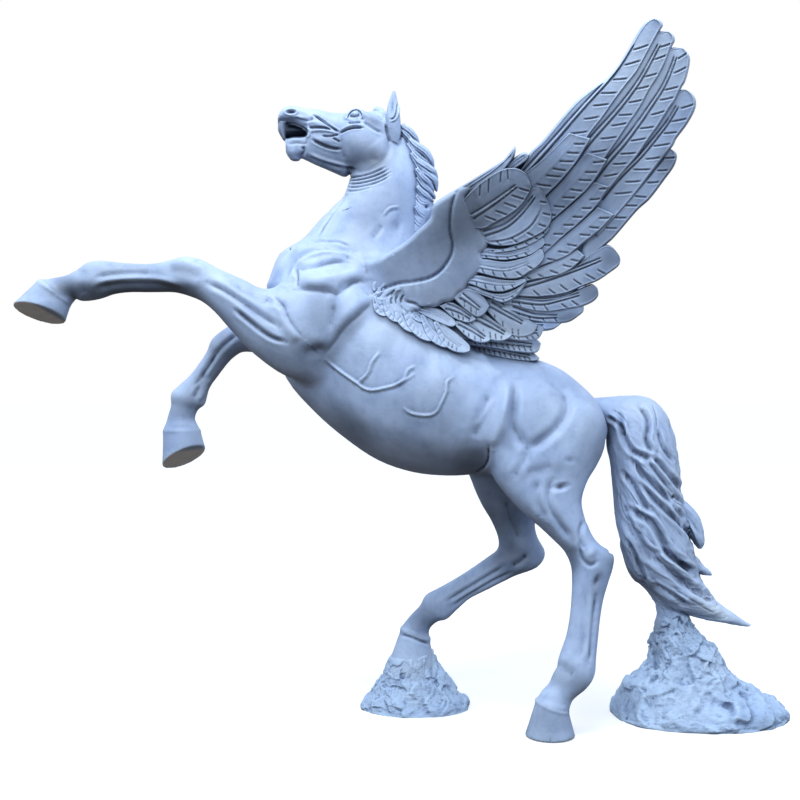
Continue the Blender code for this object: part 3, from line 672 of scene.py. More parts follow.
HEAD_STROKES = [
    # nostril, lips and muzzle
    ("pit", ((291, 111.8), (5.0, 2.3), -3), 0.9, 3.6, "both"),
    ("groove", [(295, 117.3), (301, 120.2), (308, 120.4), (314, 117.6)], 1.5, 1.4, "both"),
    ("ridge", [(289, 115.5), (296, 116.6), (303, 117.6)], 1.4, 0.7, "both"),
    ("groove", [(313, 114.6), (320.4, 119.6), (329.5, 125.9), (338.7, 132)], 0.9, 1.7, "both"),
    ("ridge", [(315, 113.6), (323, 119), (331, 124.6), (340, 130.4)], 0.9, 1.0, "both"),
    ("groove", [(318, 116.4), (326, 121.6), (334, 126.8)], 0.7, 0.6, "both"),
    ("bulge", ((318, 123.5), (11, 3.0), 14), 0, 1.7, "both"),
    ("groove", [(308, 127.8), (316, 127.4), (324, 127.8), (332, 129.6)], 1.1, 1.5, "both"),
    ("ridge", [(310, 131.4), (318, 130.4), (328, 131), (337, 133)], 1.1, 1.1, "both"),
    ("groove", [(322, 135.4), (328, 136.2), (334, 135.6), (339, 134)], 1.0, 1.4, "both"),
    ("bulge", ((325, 140.6), (12, 3.4), 14), 0, 1.7, "both"),
    ("groove", [(312, 139.4), (318, 142.8), (325, 146), (333, 148.4), (341, 149)], 1.4, 2.2, "both"),
    ("groove", [(332.6, 137.6), (336, 139.6), (339.6, 141.8)], 1.0, 1.6, "both"),
    ("ridge", [(285, 141.5), (292, 139.8), (300, 139.6), (307, 137.4), (310, 133), (308.6, 128.6), (303, 125.4), (296, 123.2), (288, 121.8), (280, 121.4)], 1.2, 1.0, "both"),
    ("groove", [(288, 144.2), (296, 143), (303, 143.4), (308, 141.6)], 1.3, 1.0, "both"),
    ("groove", [(302.5, 146), (303.4, 151), (301, 156.5)], 1.8, 2.0, "both"),
    ("bulge", ((293, 152), (6, 6), 0), 0, 1.2, "both"),
    # jaw
    ("ridge", [(309, 153.4), (318, 157.4), (330, 161.6), (342, 164.6), (354, 167.4)], 1.6, 1.2, "both"),
    ("groove", [(310, 157.6), (320, 161.6), (332, 165.6), (343, 168.4)], 1.6, 1.8, "both"),
    ("pit", ((350, 168.4), (5, 2.4), 12), 0, 2.4, "both"),
    # facial crest and cheek disc
    ("ridge", [(339.9, 131.2), (346.8, 126.8), (354.8, 125), (363, 125.6)], 1.3, 1.5, "both"),
    ("groove", [(339.6, 133.4), (346.8, 129.6), (354.8, 127.8), (363, 127.6)], 1.0, 1.7, "both"),
    ("groove", [(352, 168.4), (361, 172), (370.4, 170), (377.6, 165.6), (383.2, 160), (387.2, 154), (389, 147), (388.2, 140), (385, 134)], 2.6, 0.9, "both"),
    ("groove", [(341.6, 137.6), (340.4, 145), (341.6, 153), (345, 160)], 2.4, 0.9, "both"),
    ("bulge", ((365, 148), (21, 20), 0), 0, 1.0, "both"),
    ("pit", ((376, 160), (5, 4), 0), 0, 0.7, "both"),
    # round the eye
    ("groove", [(347.4, 122.4), (353.6, 123.2), (361, 122)], 0.9, 1.0, "both"),
    ("groove", [(363, 121.4), (368.4, 125.4), (374.6, 129.4), (382, 133)], 1.4, 1.2, "both"),
    ("groove", [(347, 119.2), (349.4, 114), (352.6, 110.8), (356.6, 109.8), (360.2, 112.2), (361.8, 116.6)], 0.6, 1.1, "both"),
    ("groove", [(350.6, 118.6), (355, 119.2), (359.6, 118.2)], 0.5, 0.8, "both"),
    ("pit", ((362, 118), (2.6, 2.2), 30), 0, 1.6, "both"),
    ("bulge", ((368, 118), (9, 4), 32), 0, 1.2, "both"),
    ("groove", [(364, 110.6), (371, 112), (378, 115.6), (384, 121)], 1.3, 1.0, "both"),
    # ear
    ("pit", ((392.2, 107), (3.4, 11), 6), 0, 2.6, "both"),
    ("groove", [(397.4, 104), (396.8, 111), (394.2, 117.4), (389.6, 119.4)], 0.9, 1.3, "both"),
    ("ridge", [(398.6, 104), (398.4, 112), (395.4, 119.4), (390, 121.6)], 0.9, 0.9, "both"),
    ("groove", [(385.6, 124), (387.4, 134), (390.6, 142.6)], 1.2, 1.5, "both"),
    ("groove", [(401.8, 124), (402, 133), (400.6, 141)], 1.2, 1.2, "both"),
]


# ------------------------------------------------------------------ building the horse
def horse_parts():
    parts = [
        Limb(TRUNK, blend=0.03), Limb(NECK, blend=0.09),
        Limb(NEAR_FORELEG, blend=0.05), Limb(FAR_FORELEG, blend=0.05),
        Limb(NEAR_THIGH, blend=0.045), Limb(FAR_THIGH, blend=0.045),
        Limb(SKULL, blend=0.03, power=2.5), Limb(MUZZLE, blend=0.02, power=2.5), Limb(TEETH, blend=0.006),
        Limb(JAW, blend=0.02, power=2.4), Limb(CHIN, blend=0.012), Limb(PALATE, blend=0.004), Limb(JAW_UNDER, blend=0.015, power=2.4),
        Limb(BROW, blend=0.014), Limb(BROW, blend=0.014, mirror=True), Limb(LOWER_LID, blend=0.010), Limb(LOWER_LID, blend=0.010, mirror=True),
        Limb(EYEBALL, blend=0.0015), Limb(EYEBALL, blend=0.0015, mirror=True),
        Limb(EAR, blend=0.012), Limb(EAR, blend=0.012, mirror=True), Limb(FORELOCK, blend=0.012),
    ]
    for key, (coronet, sole) in HOOVES.items():
        c, s = np.array(coronet, float), np.array(sole, float)
        rows = [c + (c - s) * 0.12, c, c + (s - c) * 0.10, c + (s - c) * 0.55, s]
        scale = [0.90, 1.0, 0.985, 0.99, 1.0] if "fore" in key else [0.86, 1.04, 0.99, 0.99, 1.0]
        made = []
        for row, k in zip(rows, scale):
            mid = (row[0:2] + row[2:4]) / 2
            made.append((*(mid + (row[0:2] - mid) * k), *(mid + (row[2:4] - mid) * k), row[4], row[5] * k, row[6]))
        parts.append(Limb(made, blend=0.004, steps=3, flat_end=True))
    for mirror in (False, True):
        parts.append(Pad(ARM_OUTLINE, arm_depth, arm_thick, blend=0.05, mirror=mirror, round_over=5.0))
    return parts


def build_horse():
    parts = horse_parts()
    neck_at, neck_to = to_space(345, 205, 0), to_space(417, 178, 0)
    axis = to_space(360, 150, 0) - to_space(378, 205, 0)
    axis -= (axis @ (neck_to - neck_at)) / ((neck_to - neck_at) @ (neck_to - neck_at)) * (neck_to - neck_at)
    axis /= np.linalg.norm(axis)
    made = []
    for name, side, cell, limit in (("horse_body", 1, CELL, 190000), ("horse_head", -1, CELL * 0.5, 120000)):
        seam = Seam(neck_at, axis * side, None, None)
        verts, quads = skin_with(parts, cell, seam)
        obj = mesh_object(name, verts, quads)
        made.append((obj, limit))
    return made


def skin_with(parts, cell, seam):
    low = np.min([q.low for q in parts], 0) - 0.03
    high = np.max([q.high for q in parts], 0) + 0.03
    if seam is not None and seam.normal[2] < 0:
        low[2] = max(low[2], seam.point[2] - 0.16)
        low[0], high[0] = max(low[0], -0.75), min(high[0], 0.12)
        low[1], high[1] = max(low[1], -0.22), min(high[1], 0.22)
    levels = 3
    step = cell * 2 ** levels
    size = np.ceil((high - low) / step).astype(int) + 1
    axes = [low[i] + step * np.arange(size[i]) for i in range(3)]
    grid = np.stack(np.meshgrid(*axes, indexing="ij"), -1).reshape(-1, 3)
    dense = field_with_seam(parts, grid, seam).reshape(size).astype(np.float32)
    for _ in range(levels):
        step /= 2
        new = np.repeat(np.repeat(np.repeat(dense, 2, 0), 2, 1), 2, 2)[:-1, :-1, :-1]
        for axis in range(3):
            odd, a, b = [slice(None)] * 3, [slice(None)] * 3, [slice(None)] * 3
            odd[axis], a[axis], b[axis] = slice(1, None, 2), slice(0, -2, 2), slice(2, None, 2)
            new[tuple(odd)] = 0.5 * (new[tuple(a)] + new[tuple(b)])
        dense = new
        i, j, k = np.nonzero(np.abs(dense) < 2.0 * step)
        pts = np.stack([low[0] + i * step, low[1] + j * step, low[2] + k * step], -1)
        for s in range(0, len(pts), 1500000):
            e = slice(s, s + 1500000)
            dense[i[e], j[e], k[e]] = field_with_seam(parts, pts[e], seam)
    band = 3 * step
    vdb = openvdb.FloatGrid(band)
    vdb.copyFromArray(np.clip(dense, -band, band).astype(np.float32))
    vdb.transform = openvdb.createLinearTransform(voxelSize=step)
    verts, quads = vdb.convertToQuads(isovalue=0.0)
    verts = verts.astype(float) + low
    a, b, c, d = (verts[quads[:, i]] for i in range(4))
    volume = (a * np.cross(b - a, c - a)).sum() + (a * np.cross(c - a, d - a)).sum()
    return verts, (quads[:, ::-1] if volume < 0 else quads)


MOUTH = np.array([(281.5, 123.4), (288.2, 123.6), (295.1, 124.6), (302, 127.4), (306.4, 131.1), (307.4, 134.3), (305, 136.3), (299.7, 136.9), (291.7, 137.2), (284.2, 139.4), (281.5, 139)])


def mark_mouth(obj):
    """Stores where the skin is inside the mouth, for the painted shade there."""
    co = coords(obj)
    u, v = to_drawing(co)
    um, vm = to_drawing(co, True)
    u, v = np.where(co[:, 1] < 0, u, um), np.where(co[:, 1] < 0, v, vm)
    inside = smoothstep(0.9, -0.9, polygon_distance(u, v, MOUTH)) * smoothstep(282.5, 287.5, u + 0.12 * (v - 130))
    a = obj.data.attributes.new("shade", "FLOAT", "POINT")
    a.data.foreach_set("value", inside.astype(np.float32))


import time
T0 = time.time()
horse_made = build_horse()
for obj, limit in horse_made:
    print(obj.name, len(obj.data.vertices), round(time.time() - T0, 1))
    co, n = coords(obj), normals(obj)
    soft = [s for s in BODY_STROKES + HEAD_STROKES if s[0] == "bulge"]
    hard = [s for s in BODY_STROKES + HEAD_STROKES if s[0] != "bulge"]
    co = carve(co, n, soft)
    set_coords(obj, co)
    co = carve(co, normals(obj), hard)
    co[:, 2] = np.maximum(co[:, 2], 0.0005)
    set_coords(obj, co)
    thin(obj, limit)
    mark_hollows(obj)
    if obj.name == "horse_head":
        mark_mouth(obj)
    print(obj.name, len(obj.data.polygons), round(time.time() - T0, 1))
    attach(obj, "root")
    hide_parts("horse")


# ------------------------------------------------------------------ wings
# Feathers: the two edges from root to tip (left as drawn, then right), the shaft, how far the front and the back stand
# out of the wing's middle, the length and spacing of the cut barbs, and their angle to the shaft.
OUTER_EDGE = [(560, 178), (591, 134), (603.3, 118.2), (615.5, 100.8), (626.7, 85.5), (638, 71.2), (646.1, 56.9), (653.3, 43.7), (660.4, 30.4), (663, 25.3), (660.4, 20.8), (654.3, 18.2)]
FEATHERS = [
    dict(n="p5", L=[(585, 232), (612, 200), (638, 173), (654, 155), (663, 148.4), (670, 148.5)], R=[(580, 266), (607, 244), (615.5, 236), (637, 211), (650, 199), (664.5, 180), (673.7, 167.1), (676.9, 158), (675.7, 152.4), (670, 148.5)],
         shaft=[(592, 232), (620, 205), (643, 181), (664, 156)], f=1.0, b=6.0, barb=11, gap=16, angle=48),
    dict(n="p4", L=[(585, 212), (618, 172), (637, 150), (650, 132), (660, 116), (668, 103), (675, 93.5), (681, 89.8), (686, 89.6)], R=[(598, 238), (630, 202), (650, 176), (671.6, 148), (676.7, 138.6), (685.9, 126.3), (693.1, 114.1), (696.1, 104.9), (695.1, 97.8), (691, 92.7), (686, 89.6)],
         shaft=[(600, 198), (620, 176), (639.5, 157), (655, 138.6), (668.5, 121), (678, 105)], f=2.4, b=5.0, barb=15, gap=16, angle=42),
    dict(n="p3", L=[(572, 190), (600, 152), (608, 138), (622, 117), (634, 101), (643, 85), (652, 70), (659, 56), (666, 49.5), (675, 47.2), (682.9, 48)], R=[(588, 218), (620, 178), (636.9, 158), (648.2, 141.6), (660.4, 124.3), (670.6, 108), (675.7, 100.8), (681.8, 87.6), (685.6, 81), (689, 68.2), (690, 58), (686.9, 51.8), (682.9, 48)],
         shaft=[(590, 182), (607, 162), (623, 144), (639, 123), (651, 105.5), (662.5, 88), (670.5, 70.5), (676, 55)], f=3.8, b=4.0, barb=15, gap=16, angle=42),
    dict(n="p2", L=[(550, 176), (583, 128), (595, 112), (607, 95), (618, 80), (629, 66), (637, 52), (645, 42), (655, 33), (663, 31), (668.6, 31.4)], R=[(572, 196), (601, 165), (610.4, 152.9), (615.5, 145.7), (629.8, 124.3), (641, 108), (650.2, 90.6), (659.4, 76.3), (666.5, 62), (671.6, 47.8), (674.9, 41), (673.7, 35.5), (668.6, 31.4)],
         shaft=[(565, 170), (580, 152), (595.5, 134.5), (616.5, 111), (631, 92.7), (642, 76.3), (651, 60), (660, 43)], f=5.2, b=3.0, barb=15, gap=16.5, angle=42),
    dict(n="p1", L=[(516, 176), (529, 154), (541, 142.4), (560.4, 119.2), (575.7, 101.8), (595.1, 86.5), (605.3, 79.4), (616.5, 67.1), (628.8, 47.8), (636.9, 33.5), (645.1, 22.6), (654.3, 18.2)], R=OUTER_EDGE,
         shaft=[(520, 178), (543, 153), (558.5, 135.5), (574.5, 117), (591.5, 98), (609, 79), (621, 63.2), (634, 42)], f=6.6, b=2.0, barb=15, gap=18, angle=42),
    dict(n="s3", L=[(508, 302), (528.4, 308), (547.6, 310), (565, 308), (577, 304), (583, 304.6), (584, 308.4)], R=[(500, 309), (520, 318), (538.6, 322.4), (557.8, 323.4), (569.5, 321.8), (578.5, 316), (583, 312), (584, 308.4)],
         shaft=[(512, 309), (535, 316), (558, 316.5)], f=1.2, b=4.0, barb=7, gap=13, angle=55),
    dict(n="s2", L=[(508, 294), (541, 298), (564, 295), (583.3, 287), (592, 284), (597.5, 288)], R=[(503, 305), (515, 306.4), (528.4, 310.4), (547.6, 312.4), (570.5, 309), (584, 306), (594, 301), (598.4, 295), (597.5, 288)],
         shaft=[(512, 299), (540, 303), (560, 299.4), (580, 294)], f=2.2, b=3.6, barb=9, gap=13, angle=52),
    dict(n="s1", L=[(520, 280), (540, 278), (560, 273), (583, 261), (596, 249.6), (606, 244.6), (613, 247.6), (619, 255)], R=[(508, 294), (522, 297), (541.2, 297.3), (564.1, 294), (583.3, 286.4), (597.3, 281), (610, 272.6), (618.4, 266), (620.4, 260), (619, 255)],
         shaft=[(520, 286), (540, 281), (560, 274.6), (582, 267), (602, 259)], f=3.2, b=3.2, barb=10, gap=13.5, angle=52),
    dict(n="gc5", L=[(525, 272), (538, 267), (552, 261), (566, 254.6), (576.9, 248.4)], R=[(515, 285), (529.7, 281), (557.8, 276), (573.1, 268.4), (585.8, 255.4)], shaft=[(520, 278), (548, 270), (578, 254)], f=4.9, b=4.6, barb=9, gap=12, angle=44, square=1, plain=1),
    dict(n="gc4", L=[(530, 262), (545, 250), (555, 242), (570, 229.6), (585, 217), (597.3, 205.7)], R=[(528, 274), (542.4, 266.4), (566.7, 257), (583.3, 244), (602.4, 228.6), (615.2, 214)], shaft=[(530, 268), (555, 252), (582, 231), (604, 212)], f=5.7, b=5.0, barb=11, gap=13, angle=44, square=1, plain=1),
    dict(n="gc3", L=[(525, 246), (540, 231), (555, 217), (566, 208), (580, 195.4), (593.5, 180.8)], R=[(530, 265), (547.6, 251.6), (564.1, 236.6), (579.4, 223.8), (598.6, 204.6), (610, 185.9)], shaft=[(528, 256), (556, 230), (582, 206), (601, 185)], f=6.6, b=5.4, barb=13, gap=13, angle=46, square=1, plain=1),
    dict(n="gc2", L=[(520, 226), (535, 206), (550, 191), (560.3, 180.6), (574.3, 164.2), (585.9, 151.3)], R=[(522, 248), (538, 232), (555.2, 218.8), (573.1, 203.4), (589.6, 188), (602.4, 170), (608.2, 158.7)], shaft=[(522, 236), (552, 206), (578, 178), (596, 156)], f=7.6, b=5.8, barb=15, gap=12, angle=50, square=1, plain=1),
    dict(n="gc1", L=[(500, 200), (512, 184), (525.9, 171.3), (540, 160), (552.2, 148.6), (568.6, 131.9)], R=[(520, 228), (536, 208), (550.1, 193), (560.3, 183), (574.3, 166.4), (583.9, 151.6), (591.5, 137.9)], shaft=[(505, 208), (534, 184), (560, 158), (579, 135)], f=8.8, b=6.2, barb=16, gap=11, angle=52, square=1, plain=1),
    dict(n="al2", L=[(492, 176), (508, 163), (518, 155), (525, 152.2), (528.8, 155)], R=[(500, 180), (512, 171.6), (522, 165), (527.8, 160), (528.8, 155)], shaft=[(498, 176), (512, 166), (525, 156)], f=8.0, b=5.0, barb=0, gap=9, angle=40, plain=1),
    dict(n="al1", L=[(455, 190), (478, 176), (492, 167.4), (503, 160.4), (510, 152), (515, 145.8)], R=[(470, 197), (484, 187), (495, 178), (504, 170.6), (512.4, 160), (515.6, 151.6), (515, 145.8)], shaft=[(470, 186), (495, 169), (511, 154)], f=9.6, b=6.0, barb=0, gap=11, angle=-38, plain=1),
    dict(n="mc7", L=[(462, 284), (475, 286), (489, 291.6), (502, 292.6), (515, 288), (524, 281), (527.6, 281)], R=[(466, 290), (478, 294), (491.4, 299), (502.9, 303.2), (514.4, 298.8), (522.6, 290), (527.6, 281)], shaft=[(472, 288), (490, 295), (505, 298), (518, 291)], f=8.0, b=5.6, barb=5, gap=9, angle=58, plain=1),
    dict(n="mc6", L=[(468, 274), (480, 274.6), (499, 278), (514, 279), (524.6, 277.6), (527, 281)], R=[(462, 283), (472, 285.6), (486.3, 291), (501.6, 292.6), (514.4, 288.8), (523.4, 284), (527, 281)], shaft=[(470, 279), (495, 284), (516, 284)], f=9.2, b=6.0, barb=6, gap=9, angle=58, plain=1),
    dict(n="mc4", L=[(478, 248), (490, 250), (506, 251), (525, 246), (541, 236), (545.6, 243)], R=[(476, 259), (487, 259.4), (505, 261), (528.4, 256.6), (540.6, 249), (545.6, 243)], shaft=[(480, 254), (508, 256), (530, 250)], f=8.8, b=6.4, barb=5, gap=10, angle=50, plain=1),
    dict(n="mc5", L=[(476, 258), (487, 258.4), (507, 260.6), (528.4, 255), (540, 248), (543.6, 253)], R=[(470, 272), (480, 274), (499, 278.6), (517, 279.4), (528.4, 273.4), (539, 266), (543.8, 259), (543.6, 253)], shaft=[(476, 266), (505, 270), (530, 262)], f=10.2, b=6.4, barb=7, gap=11, angle=54, plain=1),
    dict(n="mc3", L=[(482, 246), (500, 248), (518, 243), (533, 236), (545, 228), (550, 226)], R=[(480, 252), (495, 253.6), (512, 252), (528, 247), (541.2, 239.4), (549, 231), (550, 226)], shaft=[(486, 250), (512, 246), (535, 236), (546, 229)], f=9.2, b=6.8, barb=6, gap=11, angle=58, plain=1),
    dict(n="mc2", L=[(476, 222), (488, 221), (500, 214), (512, 205), (522, 195), (530.6, 188.4), (536, 186.8), (540.6, 188.8)], R=[(480, 240), (494, 246), (512, 246), (530, 239.6), (545.6, 231), (551.8, 221), (551.4, 210), (547, 199), (543.6, 191.6), (540.6, 188.8)], shaft=[(484, 234), (505, 226.4), (521, 213), (534.6, 196)],
         f=11.0, b=7.2, barb=7, gap=11, angle=58, vein=[(488, 242.6), (510, 239), (530, 227), (541.6, 209)]),
    dict(n="mc1", L=[(460, 206), (464, 198), (474, 187), (487.5, 176.4), (500.6, 169), (508, 167.2), (516.4, 167.6), (525.4, 172.6), (530.4, 183)], R=[(476, 230), (486, 229), (497, 222.6), (509.3, 216), (520, 207.6), (527, 198), (531, 189.6), (530.4, 183)],
         shaft=[(472, 217), (487, 207.6), (502, 197), (517, 185.6)], f=13.0, b=7.6, barb=13, gap=12, angle=52, both=1),
]
# small feathers below the arm; they lie on the flank where it comes forward
SMALL = [
    dict(n="e3", L=[(495, 318), (515, 322), (530, 324), (540, 324.6), (544, 328.6)], R=[(495, 334), (515, 340), (530, 341), (539, 338), (544, 328.6)], shaft=[(500, 328), (520, 331.6), (538, 331.6)], f=0.8, b=3.0, barb=6, gap=6, angle=55, flat=1),
    dict(n="e", L=[(484, 298), (495, 299), (506, 306), (518, 313.6), (530, 320), (537.6, 324.8)], R=[(484, 308), (495, 320), (505, 330), (514, 336.4), (525, 337), (534, 333), (537.6, 324.8)], shaft=[(490, 304), (505, 313), (523, 323)], f=2.2, b=3.0, barb=6, gap=9, angle=55, flat=1),
    dict(n="d", L=[(472, 316), (482, 312), (492, 319), (503, 326), (513, 333.8)], R=[(472, 324), (482, 334), (491, 340), (501, 341.4), (509, 338.6), (513, 333.8)], shaft=[(477, 318), (490, 325), (505, 333.6)], f=3.2, b=3.0, barb=6, gap=8, angle=55, flat=1),
    dict(n="f", L=[(455, 320), (465, 319.6), (477, 325.6), (486, 332), (490.6, 339)], R=[(455, 326), (465, 336), (474, 341.4), (482, 343), (488, 342), (490.6, 339)], shaft=[(459, 322), (472, 329.6), (485, 338)], f=4.0, b=3.0, barb=5, gap=7, angle=55, flat=1),
    dict(n="c", L=[(414, 306), (426, 305.4), (437, 308), (447, 312.6), (454, 318.4), (456.6, 324)], R=[(416, 311), (426, 317), (437, 322.4), (447, 326.4), (453, 327), (456.6, 324)], shaft=[(420, 308.6), (435, 313.6), (450, 321)], f=5.6, b=3.0, barb=0, gap=8, angle=55, plain=1, flat=1),
    dict(n="b", L=[(441, 304), (450, 301.6), (460, 306), (470, 312.6), (476.6, 318.6)], R=[(443, 309), (451, 316.4), (459, 320.6), (467, 323), (473, 322), (476.6, 318.6)], shaft=[(446, 306), (459, 311), (471, 318)], f=6.4, b=3.4, barb=6, gap=7, angle=55, flat=1),
    dict(n="a", L=[(459, 290), (468, 288), (477, 291.6), (485, 298), (489.4, 306)], R=[(454, 299), (461, 306), (469, 312.6), (477, 317.2), (484.4, 314), (489.4, 306)], shaft=[(461, 295.6), (470, 302), (480, 309.4)], f=7.2, b=3.8, barb=7, gap=7, angle=55, flat=1),
]
LEAVES = [((379, 278), (374.5, 292), 3.2), ((386, 281), (379, 297), 3.4), ((375, 296), (386.6, 316), 6.0), ((384, 285), (389, 300), 3.6), ((393, 290), (390, 308), 4.2), ((386, 297), (400, 322), 6.6), ((396, 298), (415.4, 332.6), 7.0),
          ((400, 294), (411, 313), 5.0), ((404, 299), (434, 341), 8.2), ((409, 300), (424, 322), 5.6), ((423, 313), (453, 346.4), 8.4), ((436, 320), (470, 351), 8.8)]
for i, ((bu, bv), (tu, tv), r) in enumerate(LEAVES):
    ax, ay = tu - bu, tv - bv
    m = math.hypot(ax, ay)
    ax, ay = ax / m, ay / m
    pu, pv = ay, -ax
    bow = 0.10 * m

    def at(t, side):
        w = r * (0.55 + 0.9 * t if t < 0.5 else 1.0 * math.sqrt(max(0.0, 1 - ((t - 0.5) / 0.5) ** 2.4)))
        c = -bow * 4 * t * (1 - t)
        return (bu + ax * m * t + pu * (side * w + c), bv + ay * m * t + pv * (side * w + c))

    SMALL.insert(4 + i, dict(n="leaf%d" % i, L=[at(t, 1) for t in (0, 0.25, 0.5, 0.75, 0.92, 1.0)], R=[at(t, -1) for t in (0, 0.25, 0.5, 0.75, 0.92, 1.0)],
                             shaft=[at(t, 0) for t in (0.05, 0.4, 0.8)], f=1.4 + 0.36 * i, b=2.6, barb=6, gap=5.2, angle=66, flat=1, faint=1))
# two inner feathers that lie over the back
INNER = [
    (dict(n="i3", L=[(462, 338), (488, 341), (513, 347), (532, 352), (539.6, 358)], R=[(462, 350), (490, 356), (513, 360.4), (530, 362), (537, 361), (539.6, 358)], shaft=[(468, 344), (495, 349), (530, 356.6)], f=2.4, b=3.4, barb=7, gap=5.2, angle=58), -22),
    (dict(n="i2", L=[(462, 328), (490, 333), (515, 335), (533, 336.6), (541, 343)], R=[(462, 345), (490, 348), (515, 352), (532, 353.4), (538.6, 350.6), (541, 343)], shaft=[(468, 337), (495, 341), (533, 345.6)], f=3.4, b=3.4, barb=8, gap=5.6, angle=58), -30),
]


def even(line, count):
    pts = catmull(line, 12) if len(line) > 2 else np.asarray(line, float)
    run = np.concatenate([[0], np.cumsum(np.linalg.norm(np.diff(pts, axis=0), axis=1))])
    t = np.linspace(0, run[-1], count)
    return np.stack([np.interp(t, run, pts[:, 0]), np.interp(t, run, pts[:, 1])], 1)


ARM_BORDER = ("al1", "al2", "mc1", "mc2", "mc3", "mc4", "mc5", "mc6", "mc7", "a", "b", "c")


